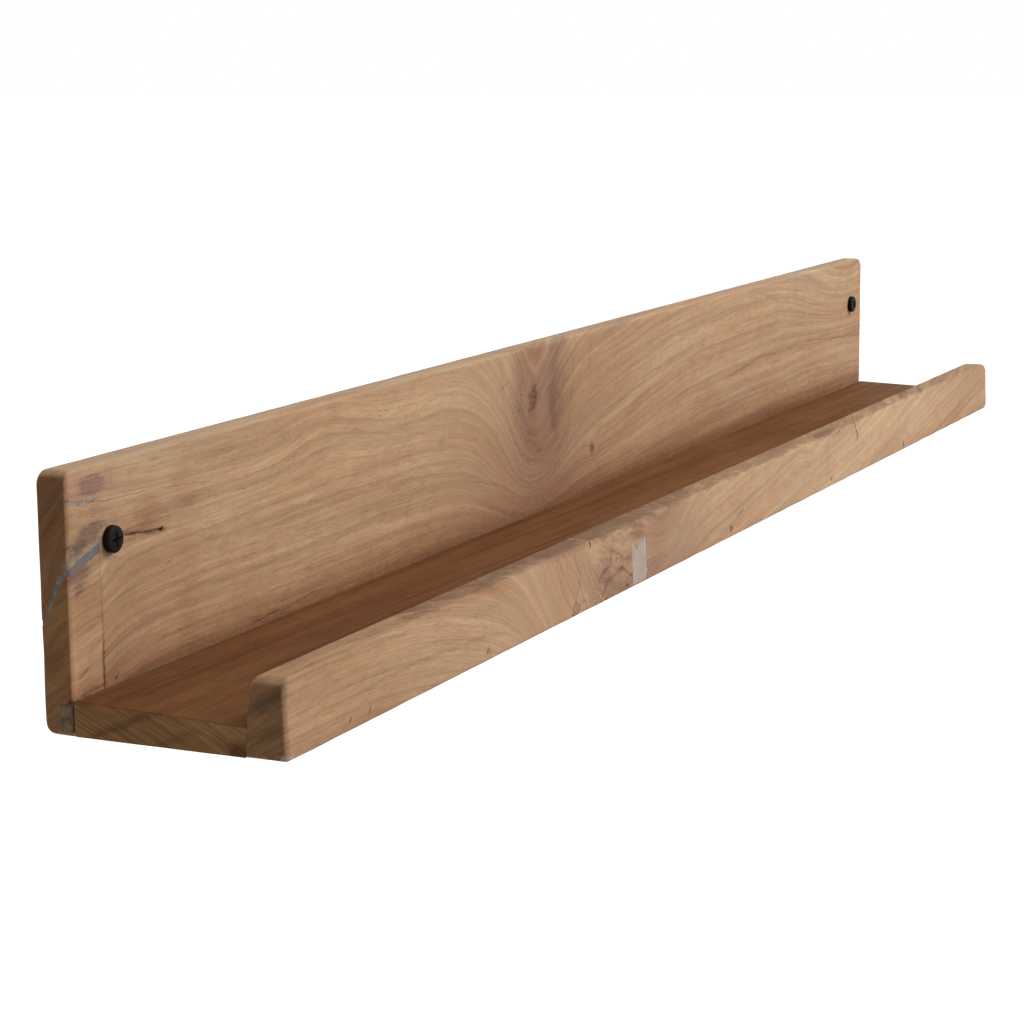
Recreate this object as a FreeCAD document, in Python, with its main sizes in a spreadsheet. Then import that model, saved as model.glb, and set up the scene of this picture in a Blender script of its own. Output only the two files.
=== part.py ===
import FreeCAD, Part
import os
import re
import Sketcher

# A wall-hung picture ledge of reclaimed teak: a back board, a tray board butted against it,
# a front lip against the tray, a let-in corner patch, putty repairs and the fasteners.
# Frame: the origin lies on the wall plane at mid-length, at the height of the two mounting
# screws. +X runs along the shelf to the right, +Y goes into the wall and +Z is up.

# Driving sizes in millimetres. Heights count from the underside, drops from the board's top
# edge and insets from the shelf's ends.
SIZES = {
    # the boards
    "shelf_length": 1000,
    "overall_depth": 108,
    "board_height": 104,
    "board_thick": 13.7,
    "tray_rear_thick": 14.6,
    "tray_front_thick": 12.2,
    "lip_height": 32,
    "lip_base": 18.5,
    "lip_top": 14.5,
    "lip_front_inset": 1.2,
    # eased edges and worn corners
    "board_front_round": 2.2,
    "board_rear_round": 3.4,
    "board_left_top_corner": 4.5,
    "board_left_base_corner": 5.5,
    "board_right_top_corner": 9,
    "board_right_base_corner": 6,
    "lip_front_round": 2.6,
    "lip_inner_round": 1.5,
    "lip_left_top_corner": 6,
    "lip_left_base_corner": 3,
    "lip_right_top_corner": 10,
    "lip_right_base_corner": 7,
    "tray_end_round": 0.8,
    # corner patch and the putty over it
    "patch_width": 21.5,
    "patch_rise": 7,
    "patch_fall": 21,
    "patch_putty_thick": 2.2,
    "heel_low": 1.6,
    "heel_high": 13,
    "heel_reach": 6.5,
    "heel_depth": 5,
    "streak_long": 18.5,
    "streak_drop": 10.4,
    "streak_tall": 4.6,
    "streak_deep": 1.5,
    "seam_start": 2.4,
    "seam_leg": 1.8,
    "seam_deep": 2.6,
    # putty in the lip
    "lip_putty_inset": 337.5,
    "lip_putty_width": 18.5,
    "lip_putty_low": 0.9,
    "lip_putty_high": 22.5,
    "lip_putty_deep": 3,
    "corner_putty_long": 4.5,
    "corner_putty_high": 2.6,
    "corner_putty_reach": 9,
    # mounting screws
    "screw_drop": 31,
    "screw_left_inset": 28.8,
    "screw_right_inset": 26.3,
    "screw_head_dia": 11,
    "screw_head_high": 3.3,
    "screw_head_round": 1.3,
    "screw_neck_dia": 4.4,
    "screw_shank_dia": 5.3,
    "screw_long": 32,
    "screw_tip": 4.5,
    "screw_slot_long": 6.4,
    "screw_slot_wide": 1.3,
    "screw_slot_deep": 2,
    # tray screws, driven from the wall side
    "tray_screw_inset": 60,
    "tray_screw_head_dia": 8,
    "tray_screw_shank_dia": 4,
    "tray_screw_long": 50,
    "tray_screw_tip": 4,
    "tray_screw_sink": 0.4,
    "tray_slot_long": 4.4,
    "tray_slot_wide": 1,
    "tray_slot_deep": 1.6,
    # brads through the lip
    "brad_height": 4.6,
    "brad_dia": 1.3,
    "brad_head_dia": 2,
    "brad_head_high": 0.7,
    "brad_long": 30,
    "brad_tip": 1.6,
    "brad_sink": 0.6,
    # fits
    "hole_clearance": 0.3,
    "cut_over": 6,
}

TRAY_SCREW_COUNT = 6

# Where the brads sit along the shelf, as shares of its length from the left end.
BRAD_PLACE_SHARES = (0.049, 0.065, 0.173, 0.474, 0.647, 0.794)

# The ragged outline of the lip's putty as shares of its width and height, from its lower left.
LIP_PUTTY_SHARES = (
    (0.00, 0.00), (0.97, 0.00), (1.00, 0.16), (1.05, 0.21), (0.98, 0.27), (1.00, 0.93),
    (0.90, 0.99), (0.80, 0.92), (0.70, 1.00), (0.52, 0.92), (0.36, 0.76), (0.22, 0.88),
    (0.10, 1.00), (0.00, 0.95),
)

# The mounting screws' height over the underside; the patch's sloping joint runs up to it.
SCREW_LEVEL = "(board_height - screw_drop)"

# How far the lip's inner face leans out for each unit of height.
LIP_LEAN = "(lip_base - lip_top - lip_front_inset) / lip_height"

# The streak of putty by the upper left corner, as shares of its length and height.
STREAK_SHARES = ((0.50, 0.00), (1.00, 0.42), (1.00, 0.60), (0.50, 0.58))

# How close a point lies to a face that it counts as on, as a share of the cuts' overrun.
NEAR_SHARE = 1e-5

document = FreeCAD.newDocument("wall_shelf")
sheet = document.addObject("Spreadsheet::Sheet", "Sizes")
for row, (alias, value) in enumerate(SIZES.items(), start=1):
    sheet.set(f"A{row}", str(value))
    sheet.setAlias(f"A{row}", alias)
document.recompute()


def bound(words):
    """The expression with each size's name pointed at the sheet."""

    def pointed(found):
        word = found.group()
        return "Sizes." + word if word in SIZES else word

    return re.sub(r"[a-z_]+", pointed, words)


def number(words):
    """The present value of an expression written in the sizes' names."""
    return float(sheet.evalExpression(bound(words)))


def bind(thing, **expressions):
    """Ties properties to the sheet; a double underscore in a keyword stands for a dot."""
    for name, words in expressions.items():
        thing.setExpression(name.replace("__", "."), bound(words))


def place(thing, along="0", out="0", up="0"):
    """Ties a Placement: along from the left end, out from the wall, up from the underside."""
    bind(
        thing,
        Placement__Base__x=f"({along}) - shelf_length / 2",
        Placement__Base__y=out,
        Placement__Base__z=f"({up}) - {SCREW_LEVEL}",
    )


def outline(body, name, plane, corners, offset="0"):
    """A closed outline of straight lines on an origin plane; each corner is a pair of expressions."""
    sketch = body.newObject("Sketcher::SketchObject", name)
    support = next(item for item in body.Origin.OriginFeatures if item.Role == plane)
    sketch.AttachmentSupport = (support, [""])
    sketch.MapMode = "FlatFace"
    bind(sketch, AttachmentOffset__Base__z=offset)
    points = [FreeCAD.Vector(number(across), number(up), 0) for across, up in corners]
    for index, point in enumerate(points):
        sketch.addGeometry(Part.LineSegment(point, points[(index + 1) % len(points)]), False)
    for index in range(len(points)):
        following = (index + 1) % len(points)
        sketch.addConstraint(Sketcher.Constraint("Coincident", index, 2, following, 1))
    for index, (across, up) in enumerate(corners):
        for kind, words in (("DistanceX", across), ("DistanceY", up)):
            added = sketch.addConstraint(Sketcher.Constraint(kind, -1, 1, index, 1, number(words)))
            sketch.setExpression(f"Constraints[{added}]", bound(words))
    return sketch


def new_body(label):
    """An empty body whose label will name its file."""
    body = document.addObject("PartDesign::Body", label)
    body.Label = label
    return body


def pad(body, sketch, length):
    """A straight pad of a sketch along its plane's normal."""
    feature = body.newObject("PartDesign::Pad", sketch.Name + "_pad")
    feature.Profile = sketch
    bind(feature, Length=length)
    document.recompute()
    return feature


def ease(body, base, name, radius, chosen):
    """A fillet on the base feature's edges whose every sampled point passes the test."""
    names = []
    for index, edge in enumerate(base.Shape.Edges, start=1):
        if not edge.Degenerated and all(chosen(point) for point in edge.discretize(Number=5)):
            names.append(f"Edge{index}")
    feature = body.newObject("PartDesign::Fillet", name)
    feature.Base = (base, names)
    bind(feature, Radius=radius)
    document.recompute()
    return feature


def near(value, words):
    """Whether a coordinate lies at the value of an expression."""
    return abs(value - number(words)) < number("cut_over") * NEAR_SHARE


def round_corners(body, base, name, radii, high):
    """Rounds the four corners of a board seen from the front; radii are for left/right, base/top."""
    for (side, level), radius in radii.items():
        along = "0" if side == "left" else "shelf_length"
        up = "0" if level == "base" else high
        base = ease(
            body, base, f"{name}_{side}_{level}", radius,
            lambda point: near(point.x, along) and near(point.z, up),
        )
    return base


def spin(body, sketch):
    """A full turn of a sketch about the Y axis of its XY plane."""
    feature = body.newObject("PartDesign::Revolution", sketch.Name + "_turned")
    feature.Profile = sketch
    feature.ReferenceAxis = (sketch, ["V_Axis"])
    feature.Angle = 360
    document.recompute()
    return feature


def cross_corners(long, wide):
    """The twelve corners of a driver's cross centred on the axis, as expressions."""
    arm, half = f"{long} / 2", f"{wide} / 2"
    quarter = [(arm, half), (half, half), (half, arm)]
    corners = []
    for across_sign, up_sign, flip in ((1, 1, False), (-1, 1, True), (-1, -1, False), (1, -1, True)):
        for across, up in quarter[::-1] if flip else quarter:
            corners.append((f"{across_sign} * {across}", f"{up_sign} * {up}"))
    return corners


def sink_cross(body, name, face, long, wide, deep, reverse):
    """A cross recess of the given depth below the plane at face; reverse cuts towards -Y."""
    sketch = outline(body, name, "XZ_Plane", cross_corners(long, wide), offset=face)
    feature = body.newObject("PartDesign::Pocket", name + "_pocket")
    feature.Profile = sketch
    feature.Reversed = reverse
    before = body.Shape.Volume
    bind(feature, Length=deep)
    document.recompute()
    if body.Shape.Volume >= before:
        raise RuntimeError(name + " cuts nothing")


def boolean(kind, label, base, tool):
    """A boolean of two shapes of the document: Cut or Common."""
    feature = document.addObject("Part::" + kind, label)
    feature.Base = base
    feature.Tool = tool
    feature.Label = label
    document.recompute()
    return feature


def joined(label, shapes):
    """Several tools as one."""
    feature = document.addObject("Part::MultiFuse", label)
    feature.Shapes = shapes
    document.recompute()
    return feature


def make_board_blank():
    """The back board before anything is let into it: a plank with worn corners and eased rims."""
    body = new_body("board_blank")
    corners = [("0", "0"), ("shelf_length", "0"), ("shelf_length", "board_height"), ("0", "board_height")]
    plank = pad(body, outline(body, "board_outline", "XZ_Plane", corners), "board_thick")
    plank = round_corners(
        body, plank, "board_corner",
        {
            ("left", "base"): "board_left_base_corner",
            ("left", "top"): "board_left_top_corner",
            ("right", "base"): "board_right_base_corner",
            ("right", "top"): "board_right_top_corner",
        },
        "board_height",
    )
    for face, out in (("front", "-board_thick"), ("rear", "0")):
        plank = ease(
            body, plank, f"board_{face}_rim", f"board_{face}_round", lambda point: near(point.y, out)
        )
    place(body)
    return body


def make_wedge(name, drop):
    """The lower left corner's wedge: its top climbs to the front and to the right; drop lowers the top."""
    body = new_body(name)
    front = f"{SCREW_LEVEL} - patch_rise - {drop}"
    over = "patch_fall / board_thick * cut_over"
    lift = "patch_rise * cut_over / patch_width"
    floor = "-2 * patch_rise - cut_over"
    corners = [
        ("cut_over", floor),
        ("cut_over", f"{front} - patch_fall - {over} - {lift}"),
        ("-board_thick - cut_over", f"{front} + {over} - {lift}"),
        ("-board_thick - cut_over", floor),
    ]
    sketch = outline(body, name + "_outline", "YZ_Plane", corners, offset="-cut_over")
    feature = body.newObject("PartDesign::Pad", name + "_pad")
    feature.Profile = sketch
    feature.UseCustomVector = True
    feature.AlongSketchNormal = True
    bind(
        feature, Length="patch_width + cut_over",
        Direction__x="patch_width", Direction__y="0", Direction__z="patch_rise",
    )
    document.recompute()
    place(body)
    return body


def make_block(name, along, out, up, long, deep, high):
    """A plain box tool given by its least corner and its three sides."""
    box = document.addObject("Part::Box", name)
    bind(box, Length=long, Width=deep, Height=high)
    place(box, along, out, up)
    document.recompute()
    return box


def make_bore(name, along, out, up, diameter, length):
    """A cylinder tool that starts at out and runs towards the wall."""
    bore = document.addObject("Part::Cylinder", name)
    bore.Placement = FreeCAD.Placement(FreeCAD.Vector(), FreeCAD.Rotation(FreeCAD.Vector(1, 0, 0), -90))
    bind(bore, Radius=f"({diameter}) / 2", Height=length)
    place(bore, along, out, up)
    document.recompute()
    return bore


def make_plate_tool(name, corners, face, deep):
    """A slab under a putty repair: its outline seen from the front, from face inwards by deep."""
    body = new_body(name)
    pad(body, outline(body, name + "_outline", "XZ_Plane", corners), f"{deep} + cut_over")
    place(body, out=f"{face} + {deep}")
    document.recompute()
    return body


def make_tray_blank():
    """The tray board: thicker along the wall, its front edge bevelled to the leaning lip."""
    body = new_body("tray_blank")
    corners = [
        ("-board_thick", "0"),
        ("-board_thick", "tray_rear_thick"),
        (f"-overall_depth + lip_base - {LIP_LEAN} * tray_front_thick", "tray_front_thick"),
        ("-overall_depth + lip_base", "0"),
    ]
    plank = pad(body, outline(body, "tray_outline", "YZ_Plane", corners), "shelf_length")
    half_way = number("tray_front_thick") / 2
    ease(
        body, plank, "tray_end_rim", "tray_end_round",
        lambda point: near(point.x, "0") and (near(point.z, "0") or point.z > half_way),
    )
    place(body)
    return body


def make_lip_blank():
    """The lip: a tapered strip that leans a little, with worn ends and eased rims."""
    body = new_body("lip_blank")
    corners = [
        ("-overall_depth", "0"),
        ("-overall_depth + lip_front_inset", "lip_height"),
        ("-overall_depth + lip_front_inset + lip_top", "lip_height"),
        ("-overall_depth + lip_base", "0"),
    ]
    strip = pad(body, outline(body, "lip_outline", "YZ_Plane", corners), "shelf_length")
    strip = round_corners(
        body, strip, "lip_corner",
        {
            ("left", "base"): "lip_left_base_corner",
            ("left", "top"): "lip_left_top_corner",
            ("right", "base"): "lip_right_base_corner",
            ("right", "top"): "lip_right_top_corner",
        },
        "lip_height",
    )

    def on_front(point):
        return near(point.y, f"-overall_depth + lip_front_inset * {point.z} / lip_height")

    def on_inner(point):
        return near(point.y, f"-overall_depth + lip_base - {LIP_LEAN} * {point.z}")

    strip = ease(body, strip, "lip_front_rim", "lip_front_round", on_front)
    ease(body, strip, "lip_inner_rim", "lip_inner_round", on_inner)
    place(body)
    return body


def make_mounting_screw(label, along):
    """A black pan-head screw seated on the board's front; its neck fills the board, its thread the wall."""
    body = new_body(label)
    half_head, half_neck, half_shank = "screw_head_dia / 2", "screw_neck_dia / 2", "screw_shank_dia / 2"
    corners = [
        ("0", "-screw_head_high"),
        (half_head, "-screw_head_high"),
        (half_head, "0"),
        (half_neck, "0"),
        (half_neck, "board_thick"),
        (half_shank, "board_thick"),
        (half_shank, "screw_long - screw_tip"),
        ("0", "screw_long"),
    ]
    turned = spin(body, outline(body, label + "_profile", "XY_Plane", corners))

    def on_crown(point):
        return near(point.y, "-screw_head_high") and near(point.x ** 2 + point.z ** 2, f"({half_head}) ^ 2")

    ease(body, turned, label + "_crown", "screw_head_round", on_crown)
    sink_cross(
        body, label + "_cross", "screw_head_high",
        "screw_slot_long", "screw_slot_wide", "screw_slot_deep", False,
    )
    place(body, along, "-board_thick", SCREW_LEVEL)
    return body


def make_tray_screw(label, along):
    """A countersunk wood screw: its flat head lies just under the wall face, its shank in the tray."""
    body = new_body(label)
    half_head, half_shank = "tray_screw_head_dia / 2", "tray_screw_shank_dia / 2"
    corners = [
        ("0", "0"),
        (half_head, "0"),
        (half_shank, f"-({half_head} - {half_shank})"),
        (half_shank, "-(tray_screw_long - tray_screw_tip)"),
        ("0", "-tray_screw_long"),
    ]
    spin(body, outline(body, label + "_profile", "XY_Plane", corners))
    sink_cross(body, label + "_cross", "0", "tray_slot_long", "tray_slot_wide", "tray_slot_deep", True)
    place(body, along, "-tray_screw_sink", "tray_rear_thick / 2")
    return body


def make_tray_screw_hole(name, along):
    """A tray screw's way: its countersink and clearance hole in the board, then its own size in the tray."""
    body = new_body(name)
    head = "tray_screw_head_dia / 2 + hole_clearance / 2"
    clear = "tray_screw_shank_dia / 2 + hole_clearance / 2"
    tight = "tray_screw_shank_dia / 2"
    seat = "-tray_screw_sink"
    corners = [
        ("0", "cut_over"),
        (head, "cut_over"),
        (head, seat),
        (clear, f"{seat} - ({head}) + ({clear})"),
        (clear, "-board_thick"),
        (tight, "-board_thick"),
        (tight, "-(tray_screw_long - tray_screw_tip) - tray_screw_sink"),
        ("0", "-tray_screw_long - tray_screw_sink"),
    ]
    spin(body, outline(body, name + "_profile", "XY_Plane", corners))
    place(body, along, "0", "tray_rear_thick / 2")
    return body


def brad_front(up="brad_height"):
    """How far out the lip's leaning front lies at a height, as an expression."""
    return f"-overall_depth + lip_front_inset * ({up}) / lip_height"


def make_brad(label, along, overrun="0"):
    """A fine headed brad, driven through the lip into the tray; an overrun opens its sunk hole."""
    body = new_body(label)
    corners = [
        ("0", f"-({overrun})"),
        ("brad_head_dia / 2", f"-({overrun})"),
        ("brad_head_dia / 2", "brad_head_high"),
        ("brad_dia / 2", "brad_head_high"),
        ("brad_dia / 2", "brad_long - brad_tip"),
        ("0", "brad_long"),
    ]
    spin(body, outline(body, label + "_profile", "XY_Plane", corners))
    place(body, along, f"{brad_front()} + brad_sink", "brad_height")
    return body


def share_corners(shares, along, up, long, high):
    """Corners from a table of shares of a length and a height."""
    return [(f"{along} + {a} * ({long})", f"{up} + {b} * ({high})") for a, b in shares]


# The back board, its patch and the putty about them, all cut from one blank.
board_blank = make_board_blank()
notch = make_wedge("notch", "0")
patch_wedge = make_wedge("patch_wedge", "patch_putty_thick")
patch_blank = boolean("Common", "patch_blank", board_blank, patch_wedge)
heel_block = make_block(
    "heel_block", "-cut_over", "-board_thick - cut_over", "heel_low",
    "heel_depth + cut_over", "heel_reach + cut_over", "heel_high - heel_low",
)
corner_patch = boolean("Cut", "corner_patch", patch_blank, heel_block)
heel_filler = boolean("Common", "heel_filler", patch_blank, heel_block)
notch_fill = boolean("Common", "notch_fill", board_blank, notch)
patch_filler = boolean("Cut", "patch_filler", notch_fill, patch_wedge)
streak_low = "board_height - streak_drop - streak_tall"
streak_corners = [
    ("-cut_over", f"{streak_low} + streak_tall"),
    ("-cut_over", f"{streak_low} + streak_tall / 2"),
]
streak_corners +=share_corners(STREAK_SHARES, "0", streak_low, "streak_long", "streak_tall")
streak_plate = make_plate_tool("streak_plate", streak_corners, "-board_thick", "streak_deep")
streak_filler = boolean("Common", "streak_filler", board_blank, streak_plate)

# Fasteners, each with the hole that it needs.
screw_places = {"left": "screw_left_inset", "right": "shelf_length - screw_right_inset"}
mounting_screws = [
    make_mounting_screw(f"mounting_screw_{side}", along) for side, along in screw_places.items()
]
mounting_holes = [
    make_bore(
        f"mounting_hole_{side}", along, "-board_thick - cut_over", SCREW_LEVEL,
        "screw_shank_dia + hole_clearance", "board_thick + 2 * cut_over",
    )
    for side, along in screw_places.items()
]
tray_screws = []
tray_screw_holes = []
for index in range(TRAY_SCREW_COUNT):
    share = index / (TRAY_SCREW_COUNT - 1)
    along = f"tray_screw_inset + {share} * (shelf_length - 2 * tray_screw_inset)"
    tray_screws.append(make_tray_screw(f"tray_screw_{index + 1}", along))
    tray_screw_holes.append(make_tray_screw_hole(f"tray_screw_hole_{index + 1}", along))
brads = []
brad_holes = []
for index, share in enumerate(BRAD_PLACE_SHARES, start=1):
    brads.append(make_brad(f"lip_brad_{index}", f"{share} * shelf_length"))
    brad_holes.append(make_brad(f"brad_hole_{index}", f"{share} * shelf_length", overrun="cut_over"))

back_board = boolean(
    "Cut", "back_board", board_blank,
    joined("board_cuts", [notch, streak_plate] + mounting_holes + tray_screw_holes),
)

# The putty in the open angle between the patch and the tray, level with the tray's top.
seam_filler = new_body("seam_filler")
tray_run = f"(overall_depth - lip_base + {LIP_LEAN} * tray_front_thick - board_thick)"
tray_fall = f"(tray_rear_thick - tray_front_thick) / {tray_run}"
seam_corners = [
    ("-board_thick", "tray_rear_thick"),
    ("-board_thick", "tray_rear_thick - seam_deep"),
    ("-board_thick - seam_leg", f"tray_rear_thick - {tray_fall} * seam_leg"),
]
seam_outline = outline(seam_filler, "seam_outline", "YZ_Plane", seam_corners, "seam_start")
pad(seam_filler, seam_outline, "patch_width - seam_start")
place(seam_filler)
document.recompute()

# The tray and the lip.
tray_cuts = joined("tray_cuts", [seam_filler] + tray_screw_holes + brad_holes)
tray_board = boolean("Cut", "tray_board", make_tray_blank(), tray_cuts)
lip_blank = make_lip_blank()
putty_corners = share_corners(
    LIP_PUTTY_SHARES, "lip_putty_inset", "lip_putty_low", "lip_putty_width", "lip_putty_high - lip_putty_low"
)
putty_plate = make_plate_tool("putty_plate", putty_corners, brad_front("lip_putty_high"), "lip_putty_deep")
lip_filler = boolean("Common", "lip_filler", lip_blank, putty_plate)
corner_block = make_block(
    "corner_block", "-cut_over", "-overall_depth - cut_over", "-cut_over",
    "corner_putty_long + cut_over", "corner_putty_reach + cut_over", "corner_putty_high + cut_over",
)
lip_corner_filler = boolean("Common", "lip_corner_filler", lip_blank, corner_block)
lip_cuts = joined("lip_cuts", [putty_plate, corner_block] + brad_holes)
front_lip = boolean("Cut", "front_lip", lip_blank, lip_cuts)

document.recompute()

pieces = [
    back_board, corner_patch, patch_filler, heel_filler, streak_filler, seam_filler,
    tray_board, front_lip, lip_filler, lip_corner_filler,
] + mounting_screws + tray_screws + brads

for item in document.Objects:
    if "Invalid" in item.State or "Error" in item.State:
        raise RuntimeError(f"{item.Label} failed to compute: {item.State}")
for piece in pieces:
    if piece.Shape.isNull() or not piece.Shape.isValid() or len(piece.Shape.Solids) != 1:
        raise RuntimeError(f"{piece.Label} isn't one valid solid")

os.makedirs("parts", exist_ok=True)
for piece in pieces:
    piece.Shape.exportStep(f"parts/{piece.Label}.step")
    box = piece.Shape.optimalBoundingBox(False)
    print(
        f"{piece.Label}: volume {piece.Shape.Volume:.1f},"
        f" x {box.XMin:.2f} {box.XMax:.2f}, y {box.YMin:.2f} {box.YMax:.2f}, z {box.ZMin:.2f} {box.ZMax:.2f}"
    )
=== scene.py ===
import math
import bmesh
import bpy
import numpy as np
from mathutils import Matrix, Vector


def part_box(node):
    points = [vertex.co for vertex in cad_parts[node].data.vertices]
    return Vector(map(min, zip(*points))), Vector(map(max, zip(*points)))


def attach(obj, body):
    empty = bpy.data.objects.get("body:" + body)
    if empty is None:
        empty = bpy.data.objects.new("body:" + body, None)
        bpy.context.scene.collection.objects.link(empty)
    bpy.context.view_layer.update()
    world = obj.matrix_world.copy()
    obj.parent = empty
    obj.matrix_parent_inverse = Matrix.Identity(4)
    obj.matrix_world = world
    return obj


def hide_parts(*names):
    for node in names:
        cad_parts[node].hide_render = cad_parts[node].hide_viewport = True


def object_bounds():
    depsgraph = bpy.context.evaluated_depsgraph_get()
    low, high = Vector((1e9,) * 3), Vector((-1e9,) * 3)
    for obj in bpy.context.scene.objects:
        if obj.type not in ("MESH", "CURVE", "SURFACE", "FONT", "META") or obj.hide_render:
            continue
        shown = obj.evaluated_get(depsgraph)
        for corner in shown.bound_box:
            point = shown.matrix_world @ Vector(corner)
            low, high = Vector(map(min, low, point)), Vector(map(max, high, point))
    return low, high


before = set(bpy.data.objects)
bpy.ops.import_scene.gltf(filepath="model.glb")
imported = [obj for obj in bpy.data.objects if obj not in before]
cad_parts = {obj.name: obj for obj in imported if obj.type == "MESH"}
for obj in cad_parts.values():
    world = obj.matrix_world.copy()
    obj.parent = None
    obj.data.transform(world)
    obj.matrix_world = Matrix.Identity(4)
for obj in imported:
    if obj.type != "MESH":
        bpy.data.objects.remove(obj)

cad_low, cad_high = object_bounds()

# Back board: the low upright plank that the two black screws hold to the wall. Reclaimed teak,
# planed, with eased rims, worn corners and one big knot; its lower left corner is notched for a
# let-in patch, and its rear is countersunk for the screws that carry the tray.
MM = 0.001
board_low, board_high = (np.array(corner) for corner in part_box("back_board"))
LEFT_END, RIGHT_END = board_low[0], board_high[0]
UNDERSIDE = board_low[2]
BOARD_FRONT, WALL_PLANE = board_low[1], board_high[1]
BOARD_ROUNDS = [0.5 * MM, 1.8 * MM, 3.4 * MM, 4.8 * MM]
BOARD_ENDS = {
    "front": (2.2 * MM, 2.2 * MM),
    "rear": (0.8 * MM, 3.4 * MM),
    "top": (4.5 * MM, 9.0 * MM),
    "base": (1.2 * MM, 6.0 * MM),
}
BOARD_PITCH = 2.5 * MM
END_REACH = 14 * MM
END_STEPS = 13
ARC_STEPS = 5
CAP_RINGS = 6


def on_shelf(along, up, out=BOARD_FRONT / MM):
    """A point in the frame from millimetres along from the left end, up from the underside and out
    from the wall."""
    return np.array([LEFT_END + along * MM, out * MM, UNDERSIDE + up * MM])


def stations(low, high, pitch):
    """Places along a plank: an even pitch, drawn together as the square of the way to its ends."""
    near_end = END_REACH * (np.arange(END_STEPS) / END_STEPS) ** 2
    middle = np.linspace(low + END_REACH, high - END_REACH, int((high - low) / pitch))
    return np.concatenate([low + near_end, middle, (high - near_end)[::-1]])


def drawn_back(distance, radius):
    """How far a quarter round draws a face back at distance d from its end: r - sqrt(r^2 - (r - d)^2)."""
    short = np.clip(radius - distance, 0, radius)
    return radius - np.sqrt(radius**2 - short**2)


def plank_corners(outline, front, rear, top, base):
    """A section's four corners at each station: they slide along their leaning sides and in by
    their face's amount."""
    front_base, front_top, rear_top, rear_base = outline

    def on_side(low, high, height, push):
        share = (height - low[1]) / (high[1] - low[1])
        return np.stack([low[0] + (high[0] - low[0]) * share + push, height], axis=-1)

    return np.stack(
        [
            on_side(front_base, front_top, front_base[1] + base, front),
            on_side(front_base, front_top, front_top[1] - top, front),
            on_side(rear_base, rear_top, rear_top[1] - top, -rear),
            on_side(rear_base, rear_top, rear_base[1] + base, -rear),
        ],
        axis=1,
    )


def rounded_sections(corners, radii, side_steps):
    """Closed sections from corners P: each is eased along P + a(1 - t)^2 + b t^2, where a and b run
    from it down its two sides for its radius, and straight runs of the given steps join them."""
    behind = np.roll(corners, 1, axis=1) - corners
    ahead = np.roll(corners, -1, axis=1) - corners
    behind *= radii[None, :, None] / np.linalg.norm(behind, axis=2, keepdims=True)
    ahead *= radii[None, :, None] / np.linalg.norm(ahead, axis=2, keepdims=True)
    turn = np.linspace(0, 1, ARC_STEPS + 1)[None, :, None]
    parts = []
    for index, steps in enumerate(side_steps):
        following = (index + 1) % len(side_steps)
        corner = corners[:, index, None]
        parts.append(corner + behind[:, index, None] * (1 - turn) ** 2 + ahead[:, index, None] * turn**2)
        start = corner + ahead[:, index, None]
        finish = corners[:, following, None] + behind[:, following, None]
        share = (np.arange(1, steps) / steps)[None, :, None]
        parts.append(start + (finish - start) * share)
    return np.concatenate(parts, axis=1)


def plank_rows(outline, ends, rounds, pitch, side_steps, span=None):
    """A plank's surface as rows of points: its rounded section carried along X, each face drawing back in a
    quarter round towards the ends; a span keeps only a stretch of it."""
    along = stations(LEFT_END, RIGHT_END, pitch)
    if span is not None:
        along = along[(along >= span[0]) & (along <= span[1])]
    draws = {
        side: drawn_back(along - LEFT_END, left) + drawn_back(RIGHT_END - along, right)
        for side, (left, right) in ends.items()
    }
    sections = rounded_sections(plank_corners(outline, **draws), np.array(rounds), side_steps)
    places = np.broadcast_to(along[:, None, None], sections.shape[:2] + (1,))
    return np.concatenate([places, sections], axis=2)


def with_caps(rows):
    """The rows with rings at both ends that shrink evenly towards each end's middle."""
    shares = (np.arange(1, CAP_RINGS) / CAP_RINGS)[:, None, None]
    first, last = rows[0].mean(axis=0), rows[-1].mean(axis=0)
    start = first + (rows[0] - first) * shares
    finish = last + (rows[-1] - last) * shares[::-1]
    return np.concatenate([start, rows, finish])


def row_normals(rows):
    """Outward unit normals of a closed tube of rows: its lengthwise step crossed with its step
    round the section."""
    lengthwise = np.gradient(rows, axis=0)
    around = np.roll(rows, -1, axis=1) - np.roll(rows, 1, axis=1)
    normal = np.cross(lengthwise, around)
    return normal / np.maximum(np.linalg.norm(normal, axis=2, keepdims=True), 1e-12)


def sway(points, length, seed):
    """A smooth wander from 0 to 1: the mean of seeded plane waves, each about this long."""
    draw = np.random.default_rng(seed)
    waves = 7
    total = 0
    for _ in range(waves):
        heading = draw.normal(size=3)
        heading *= 2 * math.pi / (length * draw.uniform(0.7, 1.6) * np.linalg.norm(heading))
        total = total + np.sin(points @ heading + draw.uniform(0, 2 * math.pi))
    return 0.5 + total / (2 * waves)


def nearness_to_edge(points, outline, reach):
    """1 where two faces of a plank meet, down to 0 at this reach from the second nearest of its
    six faces."""
    gaps = [points[..., 0] - LEFT_END, RIGHT_END - points[..., 0]]
    for start, finish in zip(outline, outline[1:] + outline[:1]):
        side = np.subtract(finish, start)
        normal = np.array([side[1], -side[0]]) / np.hypot(*side)
        gaps.append(np.abs((points[..., 1:] - np.array(start)) @ normal))
    second = np.sort(np.stack(gaps), axis=0)[1]
    return np.clip(1 - second / reach, 0, 1)


HOLLOW_LONG = 170 * MM
DENT_LONG = 22 * MM
DENT_REACH = 5 * MM


def weathered(rows, outline, hollow, dent, seed):
    """The rows pressed in along their normals: long shallow hollows everywhere, and short dents
    along the rims."""
    rim = nearness_to_edge(rows, outline, DENT_REACH)
    press = hollow * sway(rows, HOLLOW_LONG, seed) + dent * rim * sway(rows, DENT_LONG, seed + 1) ** 2
    return rows - row_normals(rows) * press[..., None]


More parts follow.
